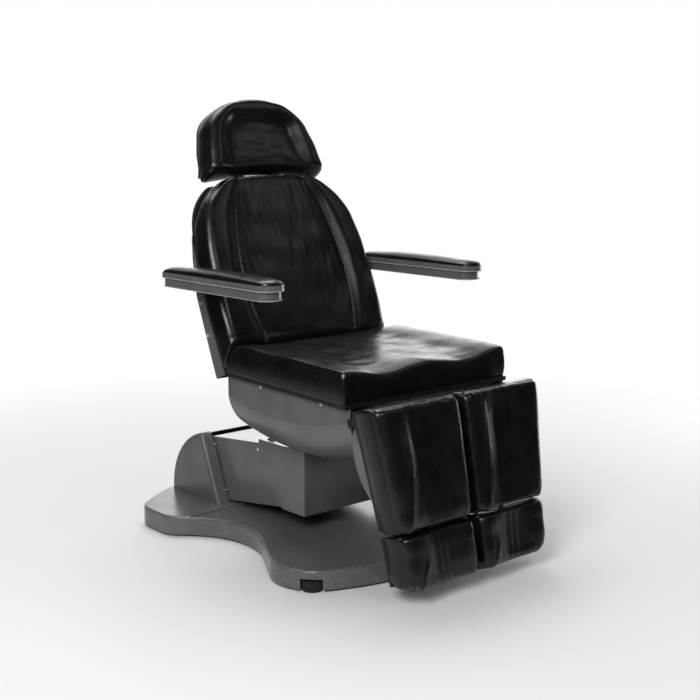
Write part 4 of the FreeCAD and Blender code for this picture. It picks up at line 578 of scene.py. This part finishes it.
# stations run up the cushion as shares of its length. widths and panels are shares of half its
# width, bolsters and hollows shares of the foam. slope is the way from the panel's seam (0) to the
# rim (1)
backSize = {
    "low": -66.0, "high": 499.0, "half": 299.0, "foam": 60.0, "bevel": 62.0, "bevelShare": 0.2,
    "stations": (0.0, 0.02, 0.10, 0.30, 0.52, 0.72, 0.85, 0.935, 0.975, 1.0),
    "widths": (0.945, 0.975, 0.985, 1.0, 0.99, 0.955, 0.88, 0.75, 0.64, 0.53),
    "panels": (0.55, 0.55, 0.56, 0.62, 0.635, 0.58, 0.52, 0.45, 0.42, 0.38),
    "bolsters": (0.95, 1.02, 1.06, 1.10, 1.13, 1.13, 1.12, 1.08, 1.04, 0.98),
    "hollows": (0.88, 0.92, 0.90, 0.88, 0.88, 0.89, 0.92, 0.94, 0.93, 0.88),
    "slopeAt": (0, 0.04, 0.28, 0.36, 0.70, 1.0), "slope": (0, 0.06, 0.86, 0.98, 1.0, 0.94),
    "crown": 0.05, "seamAt": 0.66, "step": 8.5, "fine": 2.4, "layers": 13, "fill": 0.8, "cap": 5,
    "groove": ((-2.4, 0, 2.4), (0.6, 8, 5)), "creaseFade": 30,
    "creases": ((0.5, 1.0, 0.16, 3, 34), (0.25, 1.0, 0.2, 4, 16)),
    "soft": ((0.6, 0.8, 1.0, 5, 120),),
    "seam": {"groove": 1.6, "pucker": 12.0, "depth": 0.45, "reach": 7.0}, "seed": 6,
    "draw": 2.0, "corner": (16.0, 0.1), "sideRadius": 28.0, "lowRadius": 14.0, "highRadius": 11.0,
    "stitchGap": 0.022, "stitchFrom": 0.04, "stitchTo": 0.985,
}


def backForm(s=backSize):
    length, seam = s["high"] - s["low"], s["seamAt"]

    def table(key, v):
        return throughStations(v, s["stations"], s[key])

    def share(u, v):
        # The grid's line at the seam is carried to where the panel ends at this height
        panel = table("panels", v) / table("widths", v)
        size = np.abs(u)
        beyond = panel + (size - seam) / (1 - seam) * (1 - panel)
        return np.sign(u) * np.where(size <= seam, size / seam * panel, beyond)

    def height(u, v, x):
        # A nearly flat panel, a slope from its seam to the bolster, and a slow fall to the rim
        beyond = np.clip((np.abs(u) - seam) / (1 - seam), 0, 1)
        rise = throughStations(beyond, s["slopeAt"], s["slope"])
        hollow = table("hollows", v)
        crown = s["crown"] * np.cos(np.clip(u / seam, -1, 1) * math.pi / 2)
        return s["foam"] * (hollow + crown + (table("bolsters", v) - hollow) * rise)

    def place(x, along, rise):
        # The low end is cut back towards the front, to make room for the seat
        lean = np.maximum(0, 1 - (along - s["low"]) / length / s["bevelShare"]) * rise / s["foam"]
        return leanedPlace(x, s["foam"] - rise, along + s["bevel"] * lean, backPlace)

    def folds(skin):
        # A groove with a lip at the panel's seam, and creases that fade towards it and downwards
        face = skin["w"] > 0.999
        gap = (np.abs(skin["u"]) - seam) * s["half"]
        groove = ridges(gap, s["groove"])
        creases = unevenness(skin, s["creases"])
        creases *= np.clip(-gap / s["creaseFade"], 0, 1) * np.clip(skin["v"] * 2.4, 0.3, 1)
        soft = unevenness(skin, s["soft"])
        return face * (groove + creases + soft) + seamWork(skin, s["foam"], s["seed"], s["seam"])

    def sides(v):
        half = s["half"] * table("widths", v)
        return -half, half

    inner = seam + s["stitchGap"]
    return {**s, "sides": sides, "share": share, "height": height, "place": place, "folds": folds,
            "ends": lambda x: (s["low"], s["high"] - arch["drop"] * (x / arch["half"]) ** 2),
            "length": length, "sewn": (-seam, seam),
            "stitches": [(side * inner, s["stitchFrom"], s["stitchTo"]) for side in (-1, 1)]}


# The widths' stations start archRise below the middle's low end, where the arched underside ends at
# the sides. dishes are the hollow's shares of the width, rims and floors shares of the foam, and
# bowl is the way from the hollow's middle (0) past its edge (1) to the cushion's side
headSize = {
    "low": 507.0, "length": 227.0, "half": 217.0, "foam": 71.0, "front": -8.0, "archRise": 16.0,
    "undercut": 14.0, "topDrop": 9.0, "topHalf": 66.0,
    "stations": (0.0, 0.04, 0.18, 0.38, 0.55, 0.72, 0.86, 0.94, 0.98, 1.0),
    "widths": (0.985, 1.0, 0.965, 0.93, 0.88, 0.815, 0.675, 0.54, 0.43, 0.30),
    "dishes": (0.70, 0.70, 0.70, 0.70, 0.70, 0.68, 0.62, 0.58, 0.55, 0.50),
    "rims": (0.96, 1.0, 1.05, 1.07, 1.07, 1.07, 1.06, 1.06, 1.05, 1.04),
    "floors": (0.82, 0.84, 0.76, 0.72, 0.72, 0.80, 1.00, 1.04, 1.04, 1.04),
    "bowlAt": (0, 0.40, 0.68, 0.84, 1.0, 1.16, 1.30, 2.2),
    "bowl": (-0.05, -0.04, 0.0, 0.14, 0.58, 0.97, 1.0, 0.94),
    "step": 7.0, "fine": 2.4, "layers": 15, "fill": 0.8, "cap": 3,
    "creases": ((0.6, 0.3, 1.0, 8, 26),), "soft": ((0.5, 1.0, 1.0, 9, 90),),
    "seam": {"groove": 1.3, "pucker": 13.0, "depth": 0.35, "reach": 7.0}, "seed": 10,
    "draw": 2.0, "corner": (22.0, 0.1), "sideRadius": 30.0, "lowRadius": 11.0, "highRadius": 15.0,
}


def headForm(s=headSize):
    slope = math.tan(math.radians(s["undercut"]))

    def table(key, along):
        share = (along - s["low"] + s["archRise"]) / (s["length"] + s["archRise"])
        return throughStations(np.clip(share, 0, 1), s["stations"], s[key])

    def sides(v):
        half = s["half"] * table("widths", s["low"] + v * s["length"])
        return -half, half

    def ends(x):
        # The underside follows the backrest's arch, and the top drops a little from its middle
        topDrop = s["topDrop"] * np.minimum(1, (x / s["topHalf"]) ** 2)
        return s["low"] - arch["drop"] * (x / arch["half"]) ** 2, s["low"] + s["length"] - topDrop

    def height(u, v, x):
        along = s["low"] + v * s["length"]
        floor = table("floors", along)
        bowl = throughStations(np.abs(u) / table("dishes", along), s["bowlAt"], s["bowl"])
        return s["foam"] * (floor + (table("rims", along) - floor) * bowl)

    def place(x, along, rise):
        # The underside rises towards the front, and that dies away up the cushion
        lift = slope * rise * np.clip(1 - (along - s["low"]) / s["length"] * 1.6, 0, 1)
        return leanedPlace(x, s["front"] + s["foam"] - rise, along + lift, backPlace)

    def folds(skin):
        # Creases across the hollow only
        face = skin["w"] > 0.999
        inDish = np.clip(1.15 - np.abs(skin["u"]) / 0.62, 0, 1) * np.clip(skin["v"] * 8, 0, 1)
        inDish *= np.clip((0.80 - skin["v"]) * 8, 0, 1)
        creases = inDish * unevenness(skin, s["creases"])
        soft = unevenness(skin, s["soft"])
        return face * (creases + soft) + seamWork(skin, s["foam"], s["seed"], s["seam"])

    return {**s, "sides": sides, "ends": ends, "height": height, "place": place, "folds": folds}


# bolsters, hollows and centres are shares of the foam from the front to the rear. toCentre and
# toBolster say how much of each counts at the marks, which are shares of half the width
seatSize = {
    "half": 300.0, "front": -396.0, "length": 507.0, "frontLow": 488.6, "pitch": 1.6, "foam": 77.0,
    "bevel": 45.0, "bevelShare": 0.2,
    "stations": (0.0, 0.018, 0.10, 0.30, 0.62, 0.90, 1.0),
    "bolsters": (1.04, 1.06, 1.08, 1.08, 1.06, 1.03, 0.99),
    "hollows": (0.83, 0.85, 0.87, 0.86, 0.86, 0.92, 0.93),
    "centres": (0.98, 1.00, 0.98, 0.89, 0.87, 0.93, 0.94),
    "marks": (0, 0.22, 0.43, 0.60, 0.76, 0.90, 1.0),
    "toCentre": (1, 0.5, 0, 0, 0, 0, 0), "toBolster": (0, 0, 0, 0.14, 0.68, 1.0, 1.0),
    "step": 8.5, "fine": 2.6, "layers": 15, "fill": 0.75, "cap": 4,
    "creases": ((0.8, 0.4, 1.0, 13, 70), (0.35, 0.5, 1.0, 14, 28)),
    "soft": ((0.9, 1.0, 1.0, 15, 150),),
    "seam": {"groove": 1.2, "pucker": 15.0, "depth": 0.4, "reach": 8.0}, "seed": 16,
    "draw": 3.0, "corner": (12.0, 8.0), "sideRadius": 8.0, "lowRadius": 9.0, "highRadius": 10.0,
    "stitches": ((-0.962, 0.03, 0.97), (0.962, 0.03, 0.97)),
}


def seatForm(s=seatSize):
    slope = math.tan(math.radians(s["pitch"]))

    def table(key, v):
        return throughStations(v, s["stations"], s[key])

    def height(u, v, x):
        # A low ridge in the middle, a hollow for each thigh, and a bolster along each side
        hollow, size = table("hollows", v), np.abs(x) / s["half"]
        toCentre = throughStations(size, s["marks"], s["toCentre"])
        toBolster = throughStations(size, s["marks"], s["toBolster"])
        return s["foam"] * (hollow + (table("centres", v) - hollow) * toCentre
                            + (table("bolsters", v) - hollow) * toBolster)

    def place(x, along, rise):
        # The rear end leans forwards, to make room for the backrest
        share = (along - s["length"] * (1 - s["bevelShare"])) / (s["length"] * s["bevelShare"])
        lean = s["bevel"] * np.maximum(0, share) * rise / s["foam"]
        y, z = s["front"] + along - lean, s["frontLow"] + along * slope + rise
        return np.stack([x, y, z], axis=-1) * mm

    def folds(skin):
        # Creases across the two hollows only
        face = skin["w"] > 0.999
        inHollow = np.clip(1.2 - np.abs(np.abs(skin["u"]) - 0.42) * 3.2, 0, 1)
        creases = inHollow * unevenness(skin, s["creases"])
        soft = unevenness(skin, s["soft"])
        return (face * (creases + soft)
                + seamWork(skin, s["foam"], s["seed"], s["seam"], ends=False))

    return {**s, "sides": lambda v: (-s["half"] + 0 * v, s["half"] + 0 * v),
            "ends": lambda x: (0.0, s["length"]), "height": height, "place": place, "folds": folds}


# Both run down from the seat's front edge. sides and hollows are shares of the foam at the
# stations, draws shares of the width. pulls holds each hand's sizes of its two long folds
legSize = {
    "inner": 6.0, "outerTop": 304.8, "outerLow": 267.9, "start": 0.0, "length": 318.5,
    "stations": (0.0, 0.03, 0.16, 0.45, 0.80, 0.975, 1.0),
    "sides": (0.98, 1.0, 1.04, 1.05, 1.045, 1.0, 0.96),
    "hollows": (0.91, 0.91, 0.85, 0.82, 0.85, 0.90, 0.90),
    "draws": (1.0,) * 7, "corner": (9.0, 9.0),
    "step": 7.0, "lowRadius": 15.0, "highRadius": 9.0, "cap": 4, "seed": 20,
    "pulls": {-1: (1.0, 0.4), 1: (0.6, 1.0)}, "crumple": 1.0,
    "creases": ((0.16, 1.0, 0.18, 0, 60),),
}
footSize = {
    "inner": 6.0, "outerTop": 266.0, "outerLow": 254.3, "start": 320.5, "length": 148.0,
    "stations": (0.0, 0.05, 0.40, 0.75, 0.92, 1.0),
    "sides": (0.96, 1.0, 1.04, 1.04, 1.0, 0.94),
    "hollows": (0.87, 0.87, 0.86, 0.865, 0.875, 0.86),
    "draws": (1.0, 1.0, 1.0, 1.0, 0.97, 0.93), "corner": (8.0, 22.0),
    "step": 6.0, "lowRadius": 7.0, "highRadius": 20.0, "cap": 3, "seed": 30,
    "pulls": {-1: (0.6, 0.2), 1: (0.2, 0.6)}, "crumple": 0.3, "creases": (),
}
# What the leg and foot cushions share. profile goes from the side (0) over the bolster to the
# middle. A fold is a pair of ridges that turns into a broad one with a dent from turnFrom on, and
# the folds' paths across are shares of half the width
legBoth = {
    "foam": 82.0, "draw": 4.0, "sideRadius": 28.0, "fine": 2.4, "layers": 15, "fill": 0.75,
    "half": 140.0, "profileAt": (0, 0.075, 0.135, 0.30, 0.405, 0.495, 0.5),
    "profile": (0.90, 0.97, 1.0, 0.5, 0.08, 0.0, -0.06),
    "crumples": ((1.5, 1.0, 0.6, 2, 24), (0.7, 1.0, 0.6, 5, 11)),
    "crumpleReach": 13, "creaseFade": 25, "soft": ((0.5, 1.0, 1.0, 3, 130),),
    "pair": ((2.0, 6, 3.4), (1.7, -6, 3.4)), "broad": ((6.0, 0, 8.5), (-2.2, -2, 2.4)),
    "turnFrom": 0.45, "turnShare": 0.15, "outerFold": (0.45, 0.36),
    "innerFold": (-0.66, 0.16, -0.10),
    "seam": {"groove": 1.8, "pucker": 10.0, "depth": 0.6, "reach": 7.0},
    "stitches": ((0.985, 0.04, 0.96),),
}


def legForm(size, hand):
    s = {**legBoth, **size}
    seed = s["seed"] + hand

    def table(key, v):
        return throughStations(v, s["stations"], s[key])

    def sides(v):
        outer = s["outerTop"] + (s["outerLow"] - s["outerTop"]) * v
        return s["inner"] + 0 * v, s["inner"] + (outer - s["inner"]) * table("draws", v)

    def height(u, v, x):
        # Two bolsters with a shallow hollow between them, lowest in its middle
        rise = throughStations((1 - np.abs(u)) / 2, s["profileAt"], s["profile"])
        hollow = table("hollows", v)
        return s["foam"] * (hollow + (table("sides", v) - hollow) * rise)

    def folds(skin):
        # Two long folds pulled down from the top, each two narrow ridges that become a broad one
        # halfway down, and a crumpled top edge
        u, v = skin["u"], skin["v"]
        face = skin["w"] > 0.999
        low = np.clip((v - s["turnFrom"]) / s["turnShare"], 0, 1)
        start, bend = s["outerFold"]
        outerPath = start + bend * np.maximum(0, v - 0.5) / 0.5
        start, bow, lean = s["innerFold"]
        innerPath = start + bow * np.sin(v * math.pi) + lean * v
        pulls = 0
        for path, size in zip((outerPath, innerPath), s["pulls"][hand]):
            gap = (u - path) * s["half"]
            pair, broad = ridges(gap, s["pair"]), ridges(gap, s["broad"])
            pulls = pulls + size * (pair * (1 - low) * np.clip(v * 8, 0, 1) + broad * low)
        fade = np.clip(skin["side"] / s["creaseFade"], 0, 1)
        creases = unevenness(skin, s["creases"], seed) * fade
        crumple = unevenness(skin, s["crumples"], seed) * s["crumple"]
        crumple *= ridge(skin["along"] - s["start"], s["crumpleReach"])
        soft = unevenness(skin, s["soft"], seed)
        return (face * (pulls + creases + crumple + soft)
                + seamWork(skin, s["foam"], seed + 4, s["seam"]))

    def place(x, along, rise):
        return leanedPlace(x * hand, s["foam"] - rise, -along, legPlace)

    return {**s, "sides": sides, "ends": lambda x: (s["start"], s["start"] + s["length"]),
            "height": height, "place": place, "folds": folds}


armSize = {
    "centre": 364.5, "half": 38.2, "tip": -216.0, "rear": 251.0, "low": 776.0, "top": 796.0,
    "rim": 0.28, "endRoll": 34.0, "arch": 7.0, "tipRadius": 33.0, "rearRadius": 10.0,
    "step": 6.0, "fine": 1.6, "layers": 7, "fill": 0.9, "cap": 0,
    "soft": ((0.3, 1.0, 0.5, 41, 60),),
    "draw": 0.5, "corner": (0.5, 0.5), "sideRadius": 1.5, "lowRadius": 1.5, "highRadius": 1.5,
}


def armForm(hand, s=armSize):
    length = s["rear"] - s["tip"]

    def roundEnd(distance, radius):
        gap = np.clip(radius - distance, 0, radius)
        return radius - np.sqrt(np.maximum(radius ** 2 - gap ** 2, 0))

    def sides(v):
        half = s["half"] - roundEnd(v * length, s["tipRadius"])
        half = half - roundEnd((1 - v) * length, s["rearRadius"])
        return -half, half

    def height(u, v, x):
        # A dome across and round both ends, on a small upright rim
        across = (1 - np.minimum(1, np.abs(u)) ** 2.4) ** 0.6
        end = np.clip(1 - np.minimum(v, 1 - v) * length / s["endRoll"], 0, 1)
        dome = s["rim"] + (1 - s["rim"]) * across * (1 - end ** 2.4) ** 0.6
        return (s["top"] - s["low"] - s["arch"] * (v * 2 - 1) ** 2) * dome

    def place(x, along, rise):
        return np.stack([(x + s["centre"]) * hand, along, s["low"] + rise], axis=-1) * mm

    def folds(skin):
        soft = unevenness(skin, s["soft"])
        return np.where(skin["w"] > 0.999, soft * np.clip(skin["side"] / 8, 0, 1), 0)

    return {**s, "sides": sides, "ends": lambda x: (s["tip"], s["rear"]), "length": length,
            "height": height, "place": place, "folds": folds}


# Each bead: its height, how far it lies inside the plan, and its radius
armBeads = {
    "half": 41.2, "tip": -219.0, "rear": 254.0, "tipRadius": 36.0, "rearRadius": 13.0,
    "beads": {"Ledge": (761.4, 0.6, 1.4), "Foot": (737.2, 6.2, 1.4)}, "turnSteps": 10, "sides": 8,
}


def makeBead(name, hand, level, inset, radius, s=armBeads):
    # A moulded bead carried round the armrest's plan: two straight sides and four quarter circles
    half, turns = s["half"] - inset, []
    for across, end, start in ((1, "rear", 0), (-1, "rear", 90), (-1, "tip", 180), (1, "tip", 270)):
        angle = np.radians(start + np.linspace(0, 90, s["turnSteps"]))
        r, side = s[end + "Radius"] - inset, np.sign(s[end])
        x, y = across * half, s[end] - side * inset
        turns.append(np.stack([x - across * r + r * np.cos(angle),
                               y - side * r + r * np.sin(angle)], axis=1))
    path = np.concatenate(turns)
    ahead = np.roll(path, -1, axis=0) - np.roll(path, 1, axis=0)
    ahead /= np.linalg.norm(ahead, axis=1, keepdims=True)
    out = np.stack([ahead[:, 1], -ahead[:, 0]], axis=1)
    turn = np.linspace(0, 2 * math.pi, s["sides"] + 1)[:-1]
    ring = path[:, None] + out[:, None] * (radius * np.cos(turn))[None, :, None]
    levels = np.broadcast_to((level + radius * np.sin(turn))[None, :, None], ring.shape[:2] + (1,))
    points = np.concatenate([ring, levels], axis=2)
    points[..., 0] = (points[..., 0] + armSize["centre"]) * hand
    n, k = len(path), s["sides"]
    i, j = np.meshgrid(np.arange(n), np.arange(k), indexing="ij")
    nextI, nextJ = (i + 1) % n, (j + 1) % k
    quads = np.stack([i * k + j, nextI * k + j, nextI * k + nextJ, i * k + nextJ], axis=-1)
    # The bead's light grey is a painted highlight along the rib, not its own colour
    return newPiece(name, points.reshape(-1, 3) * mm, quads.reshape(-1, 4), polishedAbs)


makeCushion("backrestCushion", backForm(), "backrest", "back_cushion")
makeCushion("headrestCushion", headForm(), "headrest", "headrest_cushion")
makeCushion("seatCushion", seatForm(), "seat", "seat_cushion")
for hand, word in ((1, "left"), (-1, "right")):
    for label, (level, inset, radius) in armBeads["beads"].items():
        bead = makeBead(word + "Armrest%sBead" % label, hand, level, inset, radius)
        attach(bead, word + "_armrest")
    makeCushion(word + "LegCushion", legForm(legSize, hand), word + "_leg", word + "_leg_cushion")
    makeCushion(word + "FootCushion", legForm(footSize, hand), word + "_foot",
                word + "_foot_cushion")
    makeCushion(word + "ArmrestPad", armForm(hand), word + "_armrest", word + "_armrest_pad")

# backdrop is the way to the lit sweep, and sideFrom and sideTo are the cosines where its light
# starts and is full. The floor fades out from near to far, in metres. The last three are strengths
room = {
    "white": "#ffffff", "paper": "#e8e8e8", "backdrop": (0.66, 0.75, 0.0), "sideFrom": 0.58,
    "sideTo": 0.86, "floorHalf": 60.0, "near": 0.5, "far": 2.5, "fill": 0.08, "backFill": 1.0,
    "darkSide": 0.03,
}


def towardsBackdrop(owner, way):
    # 1 for a direction towards the lit sweep, 0 for one away from it
    flat = addNode(owner, "ShaderNodeVectorMath", {0: way}, operation="NORMALIZE")
    dot = addNode(owner, "ShaderNodeVectorMath", {0: flat.outputs[0], 1: room["backdrop"]},
                  operation="DOT_PRODUCT")
    lit = addNode(owner, "ShaderNodeMapRange",
                  {"Value": dot.outputs["Value"], "From Min": room["sideFrom"],
                   "From Max": room["sideTo"]}, interpolation_type="SMOOTHSTEP")
    return lit.outputs[0]


def studioPaper():
    # White seamless paper, rolled matt: it keeps the shadows near the chair and fades out far away,
    # to white for the camera; mirror rays see white on the lit sweep's side and black elsewhere
    material, shader, place = startMaterial("studioPaper", 0.9)
    shader.inputs["Base Color"].default_value = linear(room["paper"])
    ray = addNode(material, "ShaderNodeLightPath")
    distance = addNode(material, "ShaderNodeVectorMath", {0: place}, operation="LENGTH")
    fade = addNode(material, "ShaderNodeMapRange",
                   {"Value": distance.outputs["Value"], "From Min": room["near"],
                    "From Max": room["far"]})
    seen = addNode(material, "ShaderNodeMath",
                   {0: ray.outputs["Is Camera Ray"], 1: ray.outputs["Is Glossy Ray"]},
                   operation="MAXIMUM")
    away = addNode(material, "ShaderNodeMath", {0: fade.outputs[0], 1: seen.outputs[0]},
                   operation="MULTIPLY")
    level = addNode(material, "ShaderNodeMath",
                    {0: ray.outputs["Is Camera Ray"], 1: towardsBackdrop(material, place)},
                    operation="MAXIMUM")
    glow = addNode(material, "ShaderNodeEmission",
                   {"Color": linear(room["white"]), "Strength": level.outputs[0]})
    whole = addNode(material, "ShaderNodeMixShader",
                    {0: away.outputs[0], 1: shader.outputs[0], 2: glow.outputs[0]})
    output = next(n for n in material.node_tree.nodes if n.type == "OUTPUT_MATERIAL")
    link(material, whole.outputs[0], output.inputs["Surface"])
    return material


square = np.array([[-1, -1, 0], [1, -1, 0], [1, 1, 0], [-1, 1, 0]]) * room["floorHalf"]
floor = newPiece("studioFloor", square, [[0, 1, 2, 3]], studioPaper(), smooth=False)


def studioWorld():
    # The white sweep stands behind the chair, and the room in front of it is dark. The camera sees
    # white everywhere; mirror rays and the soft light see the sweep on its own side
    world = bpy.data.worlds.new("studioWorld")
    bpy.context.scene.world = world
    world.use_nodes = True
    world.node_tree.nodes.clear()
    ray = addNode(world, "ShaderNodeLightPath")
    side = towardsBackdrop(world, addNode(world, "ShaderNodeTexCoord").outputs["Generated"])
    mirror = addNode(world, "ShaderNodeMapRange",
                     {"Value": side, "To Min": room["darkSide"], "To Max": 1.0})
    soft = addNode(world, "ShaderNodeMapRange",
                   {"Value": side, "To Min": room["fill"], "To Max": room["backFill"]})
    sharp = addNode(world, "ShaderNodeMath",
                    {0: ray.outputs["Is Glossy Ray"], 1: ray.outputs["Is Transmission Ray"]},
                    operation="MAXIMUM")
    unseen = addNode(world, "ShaderNodeMix",
                     {0: sharp.outputs[0], 2: soft.outputs[0], 3: mirror.outputs[0]})
    level = addNode(world, "ShaderNodeMix",
                    {0: ray.outputs["Is Camera Ray"], 2: unseen.outputs[0], 3: 1.0})
    back = addNode(world, "ShaderNodeBackground",
                   {"Color": linear(room["white"]), "Strength": level.outputs[0]})
    addNode(world, "ShaderNodeOutputWorld", {"Surface": back.outputs[0]})


studioWorld()


def softBox(name, place, target, width, height, power):
    lamp = bpy.data.lights.new(name, "AREA")
    lamp.shape = "RECTANGLE"
    lamp.size, lamp.size_y, lamp.energy = width, height, power
    box = bpy.data.objects.new(name, lamp)
    box.location = place
    box.rotation_euler = (Vector(target) - Vector(place)).to_track_quat("-Z", "Y").to_euler()
    box.visible_camera = False
    bpy.context.scene.collection.objects.link(box)


# Each softbox: its place and what it points at in metres, its width and height, and its watts
softBoxes = {
    "Left": ((-2.5, -1.6, 2.3), (-0.2, 0.1, 0.95), 1.2, 1.7, 82),
    "Over": ((0.3, 1.2, 3.2), (0, 0, 0.5), 2.4, 1.4, 55),
    "Front": ((-0.45, -2.7, 2.5), (0.1, 0, 0.7), 0.7, 0.8, 8),
    "Right": ((1.9, -1.6, 2.9), (0, 0.2, 0.9), 1.0, 1.0, 2.5),
    "Back": ((2.3, 2.6, 1.25), (0, 0, 0.4), 2.4, 1.6, 19),
    "Low": ((2.8, -0.3, 0.45), (0, -0.5, 0.35), 1.2, 0.9, 16),
}
for word, (place, target, width, height, power) in softBoxes.items():
    softBox("softBox" + word, place, target, width, height, power)

# The photograph's camera: place in metres, turn from +y to +x and tilt down in degrees, lens in mm
shot = {"place": (-2.2058, -2.5997, 1.1382), "yaw": 41.18, "pitch": 9.90, "lens": 62.25,
        "sensor": 36.0}
camera = bpy.data.cameras.new("camera")
camera.lens = shot["lens"]
camera.sensor_width = shot["sensor"]
view = bpy.data.objects.new("camera", camera)
view.location = shot["place"]
yaw, pitch = math.radians(shot["yaw"]), math.radians(shot["pitch"])
ahead = Vector((math.sin(yaw) * math.cos(pitch), math.cos(yaw) * math.cos(pitch), -math.sin(pitch)))
view.rotation_euler = ahead.to_track_quat("-Z", "Y").to_euler()
bpy.context.scene.collection.objects.link(view)
bpy.context.scene.camera = view
bpy.context.scene.view_settings.view_transform = "Standard"
print("room, lamps and camera")
